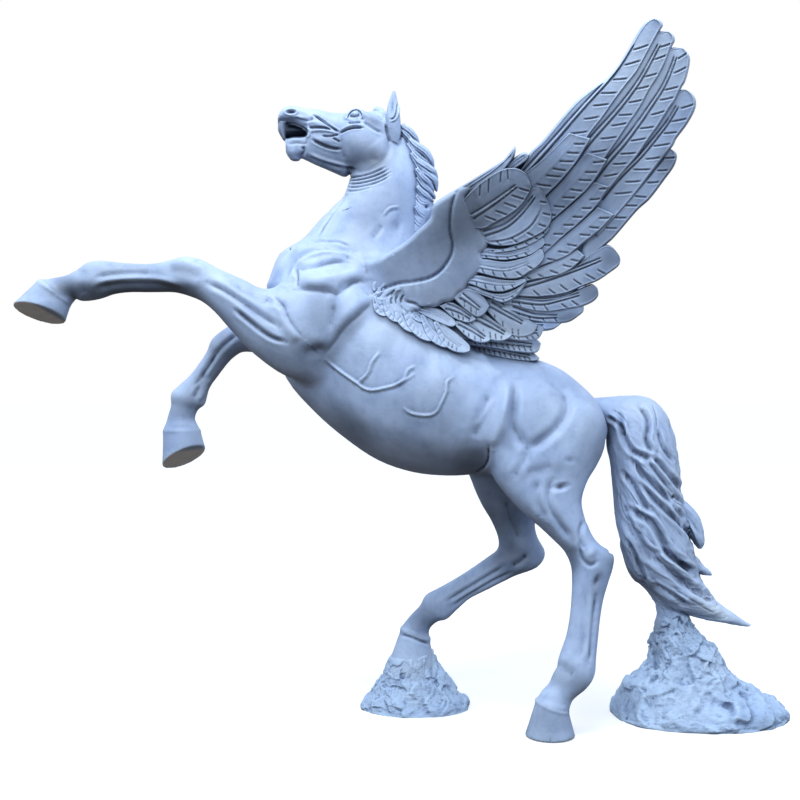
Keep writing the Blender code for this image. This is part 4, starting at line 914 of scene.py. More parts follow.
def feather_mesh(spec, depth, index):
    fine = 0.82
    sunk = 8.5 if spec["n"] in ARM_BORDER else 0.0
    if sunk:
        spec = dict(spec)
        for key in ("L", "R"):
            (x0, y0), (x1, y1) = spec[key][0], spec[key][1]
            m = math.hypot(x0 - x1, y0 - y1)
            spec[key] = [(x0 + (x0 - x1) / m * 12, y0 + (y0 - y1) / m * 12)] + list(spec[key])
    L0, R0 = even(spec["L"], 60), even(spec["R"], 60)
    length = np.linalg.norm(np.diff((L0 + R0) / 2, axis=0), axis=1).sum()
    width = np.linalg.norm(L0 - R0, axis=1).max()
    rows, cols = max(10, int(length / fine)), max(9, int(width / fine) + 5)
    # rows run evenly from root to tip, columns crowd towards the edges
    t = np.linspace(0, 1, rows)
    L, R = even(spec["L"], 400), even(spec["R"], 400)
    pick = (t * 399)
    L = np.stack([np.interp(pick, np.arange(400), L[:, c]) for c in (0, 1)], 1)
    R = np.stack([np.interp(pick, np.arange(400), R[:, c]) for c in (0, 1)], 1)
    s = np.linspace(-1, 1, cols)
    s = np.sign(s) * (1 - (1 - np.abs(s)) ** 1.25)
    a = (s + 1) / 2
    P = L[:, None, :] * (1 - a)[None, :, None] + R[:, None, :] * a[None, :, None]
    W = np.linalg.norm(L - R, axis=1)
    edge = (1 - np.abs(s))[None, :] * (W / 2)[:, None]
    from_tip = ((1 - t) * length)[:, None] + 0 * edge
    if spec.get("square"):
        edge = np.minimum(edge, from_tip)
    roll = 1.5 if spec.get("flat") else 2.8 if spec["n"][0] == "p" or spec["n"] == "web" else 1.9
    e = np.clip(edge / roll, 0, 1)
    round_edge = np.sqrt(np.maximum(0, 1 - (1 - e) ** 2))
    u, v = P[..., 0].ravel(), P[..., 1].ravel()
    h = np.zeros(len(u))
    shaft = np.array(spec["shaft"], float)
    pts = even(shaft, 80)
    idx, d, side, run = polyline_near(u, v, shaft, 12)
    plain = spec.get("plain") or spec.get("faint")
    if len(idx):
        gapw = (1.9 if not plain else 1.2) * (1 - 0.55 * run)
        amp = (1.25 if not plain else 0.55) * smoothstep(0, 0.03, 1 - run)
        inside = (run > 0.0) & (run < 1.0)
        f = 1.0 * np.exp(-(d / (0.75 * gapw)) ** 2) - 1.15 * np.exp(-((d - gapw * 1.45) / 0.85) ** 2)
        if plain:
            f = 0.5 * np.exp(-(d / 1.6) ** 2) if spec.get("square") else f
        h[idx] += np.where(inside, f * amp, 0)
    if spec.get("vein"):
        h += stroke_height(u, v, "lock", spec["vein"], 1.0, 1.2, len(u))
    # a raised band just inside the rounded edge
    h += 0.55 * np.exp(-((edge.ravel() - roll * 0.8) / 0.9) ** 2)
    if spec["barb"]:
        seg = np.linalg.norm(np.diff(pts, axis=0), axis=1)
        run_at = np.concatenate([[0], np.cumsum(seg)])
        total = run_at[-1]
        rng = np.random.default_rng(100 + index)
        count = int((total - 4) / spec["gap"])
        for sgn in ((1, -1) if spec.get("both") else (1,)):
            for k in range(count + 1):
                at = 5 + spec["gap"] * (k + rng.uniform(-0.12, 0.12)) + (3 if sgn < 0 else 0)
                if at > total - 1:
                    continue
                c = np.array([np.interp(at, run_at, pts[:, 0]), np.interp(at, run_at, pts[:, 1])])
                i = min(len(pts) - 2, int(np.searchsorted(run_at, at)))
                tan = pts[i + 1] - pts[i]
                tan /= np.linalg.norm(tan) + 1e-9
                right = np.array([-tan[1], tan[0]]) * sgn
                # distance to the feather's own edge on that side
                other = even(spec["R"] if sgn > 0 else spec["L"], 90)
                rel = other - c
                along, out = rel @ tan, rel @ right
                near = np.abs(along - np.clip(out, 0, 20) * 0.8) < 4
                w = out[near].max() if near.any() else 8.0
                if w < 4:
                    continue
                ang = math.radians(abs(spec["angle"]) + rng.uniform(-5, 5))
                dirn = tan * math.cos(ang) + right * math.sin(ang)
                reach = min(spec["barb"] * rng.uniform(0.95, 1.25), 0.70 * w / max(0.3, math.sin(ang)))
                end = c + dirn * (((0.80 if spec.get("square") or spec["n"][0] == "p" else 0.92) * w) / math.sin(ang))
                start = end - dirn * reach
                mid = (start + end) / 2 + (right * 0.4)
                h += stroke_height(u, v, "groove", [tuple(start), tuple(mid), tuple(end)], 0.7 if spec.get("flat") else 0.85, 0.7 if spec.get("faint") else 1.15, len(u))
    h = h.reshape(P.shape[:2]) * np.clip(edge / 1.5, 0, 1)
    H = 4.0 + (spec["f"] + spec["b"]) / 2 - sunk * (1 - smoothstep(0.0, 0.5 if spec["n"] in "abc" else 30.0 / length, t))[:, None]
    taper = 1 - 0.4 * smoothstep(0.35, 1.0, t)[:, None] if spec["n"] in ("p1", "p2", "p3", "p4", "p5") else 1.0
    H = np.maximum(H * taper, 1.5)
    centre = (spec["f"] - spec["b"]) / 2 * taper
    if spec.get("flat"):
        H, centre = np.maximum(2.8 - sunk * 0.12 * (1 - smoothstep(0.0, 0.5, t))[:, None], 1.5), spec["f"] + 1.2
    camber = 0.7 * (1 - s[None, :] ** 2)
    base = depth(u, v).reshape(P.shape[:2])
    tilt = spec.get("tilt", 0.9) * s[None, :]
    front = base - centre - H * round_edge - (camber + tilt) * round_edge - h
    back = base - centre + H * round_edge + (camber - tilt) * round_edge + h
    F = to_space(P[..., 0].ravel(), P[..., 1].ravel(), front.ravel())
    B = to_space(P[..., 0].ravel(), P[..., 1].ravel(), back.ravel())
    n, m = P.shape[:2]
    ids = np.arange(n * m).reshape(n, m)
    inner = np.zeros((n, m), bool)
    inner[1:-1, 1:-1] = True
    back_ids = ids.copy()
    back_ids[inner] = n * m + np.arange(inner.sum())
    verts = np.concatenate([F, B[inner.ravel()]])
    q = lambda g: np.stack([g[:-1, :-1], g[:-1, 1:], g[1:, 1:], g[1:, :-1]], -1).reshape(-1, 4)
    faces = np.concatenate([q(ids), q(back_ids)[:, ::-1]])
    return verts, faces


def gather(specs, depth, start):
    verts, faces, at = [], [], 0
    for i, spec in enumerate(specs):
        v, f = feather_mesh(spec, depth, start + i)
        verts.append(v)
        faces.append(f + at)
        at += len(v)
    return np.concatenate(verts), np.concatenate(faces)


def flank_depth():
    """Depth of the body as seen from the eye, on a grid of the drawing, for the feathers that lie on it."""
    parts = [part for part in horse_parts()[:6]]
    us, vs = np.arange(340, 560, 4.0), np.arange(262, 372, 4.0)
    U, V = (g.ravel() for g in np.meshgrid(us, vs, indexing="ij"))
    table = np.full(len(U), 60.0)
    open_rays = np.ones(len(U), bool)
    for y in np.arange(-90.0, 10.0, 1.0):
        idx = np.nonzero(open_rays)[0]
        hit = field(parts, to_space(U[idx], V[idx], np.full(len(idx), y))) < 0
        table[idx[hit]] = y
        open_rays[idx[hit]] = False
    table = table.reshape(len(us), len(vs))
    def depth(u, v):
        x = np.clip((u - us[0]) / 4.0, 0, len(us) - 1.001)
        y = np.clip((v - vs[0]) / 4.0, 0, len(vs) - 1.001)
        i, j = x.astype(int), y.astype(int)
        a, b = x - i, y - j
        t = table[i, j] * (1 - a) * (1 - b) + table[i + 1, j] * a * (1 - b) + table[i, j + 1] * (1 - a) * b + table[i + 1, j + 1] * a * b
        w = wing_depth(u, v)
        return np.minimum(w, np.where(t < 20, t + 2.0, w))
    return depth


def outward(verts, faces):
    a, b, c, d = (verts[faces[:, i]] for i in range(4))
    volume = (a * np.cross(b - a, c - a)).sum() + (a * np.cross(c - a, d - a)).sum()
    return faces[:, ::-1] if volume < 0 else faces


on_flank = flank_depth()
WEB = dict(n="web", L=[(470, 205), (490, 181), (510, 166), (530, 158), (545, 146), (585, 106), (622, 66), (644, 42)], R=[(474, 296), (505, 305), (545, 309), (575, 292), (597, 262), (603, 238), (636, 196), (661, 152), (672, 110), (664, 66), (644, 44)],
           shaft=[(480, 262), (482, 262), (484, 262)], f=-1.6, b=-1.6, barb=0, gap=9, angle=40, plain=1)
LOWER_WEB = dict(n="lower_web", L=[(390, 300), (440, 292), (480, 286), (520, 300), (534, 318)], R=[(390, 302), (425, 325), (455, 339), (490, 338), (522, 332), (534, 318)],
                 shaft=[(440, 312), (442, 312), (444, 312)], f=-5.0, b=-1.6, barb=0, gap=9, angle=40, plain=1, flat=1)
FEATHERS.insert(0, WEB)
SMALL.insert(0, LOWER_WEB)
wing_sets = {"wing_feathers_long": (FEATHERS[:9], wing_depth, 0, 112000), "wing_feathers_short": (FEATHERS[9:], wing_depth, 20, 84000)}
for key, (specs, depth, start, limit) in wing_sets.items():
    v, f = gather(specs, depth, start)
    if key == "wing_feathers_short":
        v2, f2 = gather(SMALL, on_flank, 50)
        f = np.concatenate([f, f2 + len(v)])
        v = np.concatenate([v, v2])
        for i, (spec, y0) in enumerate(INNER):
            v2, f2 = feather_mesh(spec, lambda a, b, y0=y0: np.full(len(a), float(y0)), 80 + i)
            f = np.concatenate([f, f2 + len(v)])
            v = np.concatenate([v, v2])
    obj = mesh_object(key + "_left", v, outward(v, f))
    thin(obj, limit)
    mark_hollows(obj)
    other = bpy.data.objects.new(key + "_right", obj.data.copy())
    bpy.context.scene.collection.objects.link(other)
    flip = bmesh.new()
    flip.from_mesh(other.data)
    for vert in flip.verts:
        vert.co.y = -vert.co.y
    bmesh.ops.reverse_faces(flip, faces=flip.faces)
    flip.to_mesh(other.data)
    flip.free()
    for o, node in ((obj, "wing_left"), (other, "wing_right")):
        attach(o, "root")
        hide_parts(node)
    print(key, len(obj.data.polygons), round(time.time() - T0, 1))


# ------------------------------------------------------------------ tail and mane
TAIL = [
    (592, 398, 600, 424, 0, 13), (618, 396.5, 606, 432, 0, 17), (640, 396, 607, 448, 0, 23), (658, 404, 610.5, 463, 0, 28), (672, 427, 612, 477, 1, 31),
    (678.5, 455, 613, 492, 2, 32), (680, 482, 615.5, 514, 3, 32), (684, 508, 619, 533, 4, 32), (689, 533, 624, 553, 5, 31), (694, 556, 629, 573, 6, 30),
    (700, 579, 645, 588, 8, 27), (713, 596, 662, 604, 9, 22), (723, 606, 684, 613.5, 10, 16), (736, 615, 706, 620, 10, 10), (747, 622.2, 742.5, 626, 10, 3.6), (751.5, 623.8, 748.5, 626.4, 10, 3.0),
]
TAIL_PROP = [(650, 585, 674, 580, 12, 14), (653, 600, 680, 598, 14, 13), (656, 612, 683, 612, 16, 13), (654, 630, 686, 630, 18, 15)]
TAIL_LOCKS = [
    [(606.5, 417), (614, 421), (621.5, 428), (624, 438)], [(619.8, 413), (623, 434.7), (633, 451.3), (653, 459.6)], [(638, 405), (646.4, 416.5), (648, 428), (646.4, 441), (653, 453)],
    [(658, 430), (663, 446.4), (673, 461.3)], [(669.6, 421.5), (676.2, 446.4), (679.5, 469.6)], [(631.4, 458), (641.4, 473), (648, 479.5), (669.6, 499.4), (674.6, 504.4)],
    [(646.4, 459.6), (659.6, 476.2), (673, 494.5), (683, 504.4)], [(653, 456.3), (673, 479.5), (683, 492.8)], [(621.5, 471.2), (634.7, 487.8), (646.4, 507.7), (651.3, 511)],
    [(639.7, 483), (654.6, 499.4), (663, 507.7), (687.8, 531), (694.5, 544.2)], [(624.8, 507.7), (641.4, 516), (654.6, 526), (668, 551), (679.5, 560.8), (696, 575.8)], [(673, 506), (686.2, 524.3), (694, 544)],
    [(624.8, 511), (631.4, 529.3), (643, 551), (659.6, 562.5), (679.5, 579), (696, 590.7), (717.7, 605.6)], [(638, 529.3), (644.7, 546), (659.6, 555.8)], [(626.4, 539.3), (634.7, 555.8), (646.4, 587.4)],
    [(653, 584), (673, 595.7), (689.5, 607.3)], [(663, 547.6), (673, 559.2), (692.8, 570.8)],
]
TAIL_WIDTH = [2.0, 2.6, 2.4, 2.0, 1.8, 2.8, 2.0, 2.2, 2.6, 2.4, 3.0, 2.0, 3.2, 2.6, 2.6, 2.4, 2.2]


def lock(points, y, blend):
    """A tapering strand: points are (u, v, half width, half depth)."""
    p = np.asarray(points, float)
    run = np.gradient(p[:, :2], axis=0)
    run /= np.linalg.norm(run, axis=1)[:, None]
    side = np.stack([run[:, 1], -run[:, 0]], 1)
    rows = [(*(a[:2] + s * a[2]), *(a[:2] - s * a[2]), y + (a[4] if len(a) > 4 else 0), a[3]) for a, s in zip(p, side)]
    return rows


def flow_noise(co, rows, scale_across, scale_along, seed):
    """Strands that follow a limb: noise stretched along it."""
    st = np.array([((a + c) / 2, (b + d) / 2, a, b) for a, b, c, d, *_ in rows], float)
    u, v = to_drawing(co)
    mid = st[:, :2]
    total = np.linalg.norm(np.diff(catmull(mid, 6), axis=0), axis=1).sum()
    idx, d, side, part = polyline_near(u, v, mid, 4000)
    across, run = -d * side, part * total
    bend = 9.0 * noise(np.stack([run, across * 0.4, co[:, 1] * 30], 1), 0.035, seed + 9)
    across = across - 0.42 * np.maximum(0, run - 70)
    q = np.stack([(across + bend) * scale_across, run * scale_along, np.sign(co[:, 1]) * 3 + co[:, 1] / UNIT * scale_across * 0.8], 1)
    return fbm(q, 1.0, 3, seed, 0.55)


SPIKE = lock([(682, 555, 7, 9), (691, 562, 7, 8), (699, 567.5, 5.0, 6), (705.6, 571.8, 2.8, 3.5), (712, 575, 0.6, 1.5)], 4, 0.01)
FLAP = lock([(668, 494, 5, 9), (679, 505, 7, 12), (689.5, 517, 8.4, 12), (696, 531, 7.4, 11), (699, 541, 4.6, 8), (700, 548, 1.6, 3)], 6, 0.01)
tail_parts = [Limb(TAIL, blend=0.02), Limb(TAIL_PROP, blend=0.03), Limb(SPIKE, blend=0.006), Limb(FLAP, blend=0.006)]
tail_strokes = [("lock", line, 1.05 * w, 1.3 * w, "both") for line, w in zip(TAIL_LOCKS, TAIL_WIDTH)]
tail_strokes += [("lock", line, 0.8, 0.8, "both") for line in (
    [(612, 409), (622, 416), (630, 428)], [(652, 404), (656, 416), (657, 428)], [(662, 430), (668, 446), (674, 456)], [(640, 463), (650, 473), (656, 482)], [(662, 484), (672, 497), (684, 509)],
    [(666, 489), (674, 500), (680, 506)], [(670, 512), (682, 526), (690, 538)], [(629, 490), (637, 503), (646, 512)], [(664, 560), (676, 568), (690, 578)], [(690, 600), (704, 608), (716, 614)],
    [(676, 590), (692, 600), (706, 607)], [(620, 488), (621, 506), (627, 522)])]
tail_strokes += [("pit", ((674.5, 497), (2.4, 2.0), 30), 0.2, 3.0, "both")]
verts, quads = skin_with(tail_parts, 0.0043, None)
tail = mesh_object("tail_hair", verts, quads)
co, n = coords(tail), normals(tail)
fade = smoothstep(598, 628, to_drawing(co)[0])
tip = smoothstep(752, 715, to_drawing(co)[0]) * (0.5 + 0.5 * smoothstep(410, 480, to_drawing(co)[1]))
out = flow_noise(co, TAIL, 0.075, 0.010, 31) * 1.2 + (1 - 2.6 * np.abs(flow_noise(co, TAIL, 0.11, 0.010, 57))).clip(-1, 1) * 0.5 + (1 - 2.6 * np.abs(flow_noise(co, TAIL, 0.24, 0.013, 91))).clip(-1, 1) * 0.2
co = co + n * (out * fade * tip * UNIT)[:, None]
set_coords(tail, co)
co = carve(co, normals(tail), tail_strokes)
co = relax(co, edges_of(tail), len(co), 1)
set_coords(tail, co)

MANE = [(404, 122, 396, 143, 0, 6), (415, 139, 403, 160, 0, 9), (423, 160, 406, 175, 0, 11), (429, 180, 407, 188, 0, 13), (432.6, 200, 406, 203, 0, 15), (434, 214, 405, 220, 0, 16), (428, 232, 402, 239, 0, 16), (420, 240, 399, 250, 0, 14)]
MANE_LOCKS = [
    [(401, 126, 2.4), (409, 131.5, 4.0), (415, 138, 3.2), (419.4, 144.6, 0.8)],
    [(399, 128, 3), (406.5, 136, 4.4), (413, 143, 3.6), (418, 148, 0.8)],
    [(408.6, 139.6, 2.4), (416, 146, 4.4), (425, 152.5, 4.6), (431, 160.5, 3.0), (434, 168, 0.7)],
    [(407.5, 144, 2.6), (413, 152, 4.4), (420, 158.5, 4.0), (428, 164, 2.6), (433.8, 169.8, 0.6)],
    [(411.6, 153, 2.6), (417.5, 161.4, 4.6), (426, 167.2, 4.6), (433.6, 172.4, 3.4), (437.6, 178.4, 0.8)],
    [(413.6, 160, 2.6), (419, 169, 4.2), (427, 174.4, 4.6), (434.6, 181, 3.8), (437.2, 190, 0.8)],
    [(416, 169, 2.6), (421.6, 177, 4.0), (428, 182.6, 3.6), (434.4, 190.6, 0.7)],
    [(417, 178, 2.6), (422.4, 185.6, 4.0), (428.6, 190.6, 3.6), (435.8, 197.4, 0.7)],
    [(417, 187, 2.6), (422.4, 193.4, 3.8), (428, 197.6, 3.2), (434, 201.6, 0.6)],
    [(416, 196.6, 2.6), (421, 202.4, 3.6), (427, 204, 2.4), (433, 203.6, 0.6)],
    [(415, 207, 2.8), (419.6, 214, 3.8), (425, 217.6, 3.2), (431.6, 216.6, 0.7)],
    [(412, 216, 2.8), (416.4, 223, 3.6), (421, 226, 3.0), (427, 224, 0.6)],
    [(408, 225, 2.6), (412, 231, 3.4), (416, 234, 2.6), (421, 232.6, 0.6)],
    [(404, 233, 2.4), (408, 238.6, 3.0), (412, 241, 2.2), (416, 239.6, 0.6)],
]
mane_parts = [Limb(MANE, blend=0.01)]
for i, pts in enumerate(MANE_LOCKS):
    n_pts = len(pts)
    for mirror in (False, True):
        rows = []
        for j, (u, v, w) in enumerate(pts):
            w0 = 8.5 + 6.5 * min(1.0, i / 6.0)
            t = j / (n_pts - 1)
            rows.append((u, v, w, (2.6 + w * 0.75) if j < n_pts - 1 else 1.2, -(w0 * (0.72 if i % 2 else 0.95)) * (1 - 0.55 * t)))
        mane_parts.append(Limb(lock(rows, 0, 0.004), blend=0.0045, mirror=mirror))
verts, quads = skin_with(mane_parts, 0.0034, None)
mane = mesh_object("mane_hair", verts, quads)
mane_strokes = []
for pts in MANE_LOCKS:
    line = [(u, v) for u, v, w in pts]
    for shift, d in ((-1.3, 0.55), (1.1, 0.5)):
        mane_strokes.append(("lock", [(u + shift * 0.6, v - shift) for u, v in line[:-1]], 0.55, d, "both"))
mane_strokes.append(("pit", ((427.5, 206.6), (3.4, 2.8), 10), 0, 3.0, "both"))
co = carve(coords(mane), normals(mane), mane_strokes)
set_coords(mane, co)
for obj, limit in ((tail, 105000), (mane, 46000)):
    thin(obj, limit)
    mark_hollows(obj)
    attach(obj, "root")
    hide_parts("horse")
    print(obj.name, len(obj.data.polygons), round(time.time() - T0, 1))


# ------------------------------------------------------------------ rocks
from mathutils.kdtree import KDTree

# rings: height, left and right ends, centre and half depth in plan
TAIL_ROCK = [
    (0, 217, 397, 34, 71), (5, 216.5, 397.5, 34, 71), (12, 219, 394, 34, 68), (19, 224, 384, 33.5, 63), (26, 228, 370, 33, 58), (33, 232, 358, 32, 53), (39, 239, 350, 31, 49), (45, 249, 343, 30, 45), (52, 254.5, 335, 29.5, 41),
    (60, 256, 328, 29, 37), (68, 256.5, 321, 27, 34), (76, 257, 312, 25, 30), (84, 259.5, 303, 22, 25), (94, 263.5, 296, 20, 20), (104, 265, 292, 18, 17), (112, 267, 289, 18, 15),
]
HOOF_ROCK = [
    (0, -40.5, 74, 60, 43), (5, -40, 73, 60, 42.5), (12, -37, 69, 60, 39.5), (19, -30, 62, 59, 36), (26, -24, 55, 58, 33), (33, -19.5, 48, 58, 30.5), (41, -16.5, 39, 56, 27), (48, -15, 35, 55, 25), (53, -13.5, 33.5, 54, 23), (57.5, -10, 29, 54, 19.5),
]


def boulder(name, rings, lumps, seed, limit, keep_top, slope=(0.0, 0.0)):
    n_up, n_round = ((190, 300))
    table = catmull(np.array(rings, float), 12)
    z = np.linspace(0, rings[-1][0], n_up)
    cols = [np.interp(z, table[:, 0], table[:, i]) for i in range(1, 5)]
    th = np.linspace(0, 2 * np.pi, n_round, endpoint=False)
    cx, a, cy, b = (cols[0] + cols[1]) / 2, (cols[1] - cols[0]) / 2, cols[2], cols[3]
    # the top closes over an extra ring or two
    c, s = np.cos(th), np.sin(th)
    pw = 2.0 / 2.3
    ex, ey = np.sign(c) * np.abs(c) ** pw, np.sign(s) * np.abs(s) ** pw
    X = (cx[:, None] + a[:, None] * ex[None] - PLAN_X)
    Y = (cy[:, None] + b[:, None] * ey[None])
    Z = np.repeat(z[:, None], n_round, 1)
    cap = 10
    rows = [(X, Y, Z)]
    for i in range(1, cap):
        k = 1 - i / cap
        rows.append((cx[-1] - PLAN_X + (X[-1:] - cx[-1] + PLAN_X) * k, cy[-1] + (Y[-1:] - cy[-1]) * k, Z[-1:] + 1.4 * (1 - k * k)))
    X, Y, Z = (np.concatenate([r[i] for r in rows]) for i in range(3))
    rows_n = X.shape[0]
    P = np.stack([X, Y, Z], -1).reshape(-1, 3)
    top = np.array([[cx[-1] - PLAN_X, cy[-1], rings[-1][0] + 1.4], [cx[0] - PLAN_X, cy[0], 0.0]])
    ids = np.arange(rows_n * n_round).reshape(rows_n, n_round)
    q = np.stack([ids[:-1], np.roll(ids, -1, 1)[:-1], np.roll(ids, -1, 1)[1:], ids[1:]], -1).reshape(-1, 4)
    last, first = ids[-1], ids[0]
    t1 = np.stack([last, np.roll(last, -1), np.full(n_round, len(P)), np.full(n_round, len(P))], -1)
    t2 = np.stack([np.roll(first, -1), first, np.full(n_round, len(P) + 1), np.full(n_round, len(P) + 1)], -1)
    verts = np.concatenate([P, top])
    data = bpy.data.meshes.new(name)
    data.from_pydata((verts * UNIT).tolist(), [], [f.tolist() for f in q] + [f[:3].tolist() for f in t1] + [f[:3].tolist() for f in t2])
    data.update()
    data.validate()
    obj = bpy.data.objects.new(name, data)
    bpy.context.scene.collection.objects.link(obj)
    data.shade_smooth()
    for scale, amp, kind, sd in lumps:
        co, n = coords(obj), normals(obj)
        q = co / UNIT
        rate = min(scale, 0.1)
        warp = np.stack([noise(q, rate * 0.8, sd + 40 + i) for i in range(3)], 1) * (0.35 / (rate if kind == "facet" else scale))
        warp = warp * (0.25 if kind == "facet" else 1.0)
        if kind == "facet":
            rng = np.random.default_rng(seed + sd)
            pick = rng.choice(len(q), int(scale), replace=False)
            seeds = q[pick]
            tree = KDTree(len(seeds))
            for k, c in enumerate(seeds):
                tree.insert(c, k)
            tree.balance()
            bent = q + warp * 12
            cell = np.array([tree.find(c)[1] for c in bent])
            lean = rng.uniform(-0.22, 0.22, (len(seeds), 3))
            lift = rng.uniform(-0.8, 0.8, len(seeds))
            h = lift[cell] + ((q - seeds[cell]) * lean[cell]).sum(1)
            h = relax(np.clip(h, -2, 2), edges_of(obj), len(h), 3)
        elif kind == "lump":
            h = fbm(q + warp, scale, 2, seed + sd)
        elif kind == "crag":
            h = 1 - 2.4 * np.abs(fbm(q + warp, scale, 2, seed + sd))
            h = np.clip(h, -1, 1)
        else:
            h = -np.clip(fbm(q + warp, scale, 2, seed + sd) * 2.2 - 0.25, 0, 1)
        h = h - (h.mean() + (0.75 if kind == "lump" and scale < 0.1 else 0.3)) * (1 - smoothstep(0.25 * rings[-1][0], 0.6 * rings[-1][0], q[:, 2]))
        low = smoothstep(0.0, 4.0, q[:, 2]) * 0.35 + 0.65
        high = 1 - keep_top * smoothstep(rings[-1][0] - 9, rings[-1][0], q[:, 2])
        co = co + n * (h * amp * low * high * UNIT)[:, None]
        co[:, 2] = np.where(q[:, 2] < 0.02, 0.0, np.maximum(co[:, 2], 0.0))
        set_coords(obj, co)
    co = coords(obj)
    q = co / UNIT
    tilt = np.clip((q[:, 0] - cx[-1] + PLAN_X) / a[-1], -1.5, 1.5)
    co[:, 2] += (slope[0] + slope[1] * tilt) * smoothstep(0.45 * rings[-1][0], 0.95 * rings[-1][0], q[:, 2]) * UNIT
    set_coords(obj, co)
    thin(obj, limit)
    mark_hollows(obj)
    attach(obj, "root")
    return obj


LUMPS = [(0.03, 2.8, "lump", 1), (0.055, 1.1, "crag", 2), (130, 1.4, "facet", 8), (700, 0.5, "facet", 9), (0.20, 0.30, "lump", 7), (0.45, 0.20, "crag", 5), (0.85, 0.34, "lump", 6)]
stone_tail = boulder("stone_tail", TAIL_ROCK, LUMPS, 7, 62000, 0.9)
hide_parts("rock_under_tail")
stone_hoof = boulder("stone_hoof", HOOF_ROCK, [(s, a * 0.8, k, d + 11) for s, a, k, d in LUMPS], 19, 42000, 0.95, (1.5, 4.5))
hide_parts("rock_under_hoof")
for obj in (stone_tail, stone_hoof):
    print(obj.name, len(obj.data.polygons), round(time.time() - T0, 1))


# ------------------------------------------------------------------ finish of the surfaces
def node_of(tree, kind, **values):
    n = tree.nodes.new(kind)
    for key, val in values.items():
        if hasattr(n, key):
            setattr(n, key, val)
        else:
            n.inputs[key].default_value = val
    return n


def ramp(tree, stops, source):
    n = tree.nodes.new("ShaderNodeValToRGB")
    e = n.color_ramp.elements
    while len(e) < len(stops):
        e.new(0.5)
    for el, (pos, col) in zip(e, stops):
        el.position, el.color = pos, (*col, 1) if len(col) == 3 else col
    tree.links.new(source, n.inputs[0])
    return n


def blend_colour(tree, kind, factor, a, b):
    n = tree.nodes.new("ShaderNodeMix")
    n.data_type, n.blend_type, n.clamp_factor = "RGBA", kind, True
    for socket, val in ((0, factor), (6, a), (7, b)):
        if isinstance(val, (int, float)):
            n.inputs[socket].default_value = val
        elif isinstance(val, tuple):
            n.inputs[socket].default_value = (*val, 1)
        else:
            tree.links.new(val, n.inputs[socket])
    return n.outputs[2]


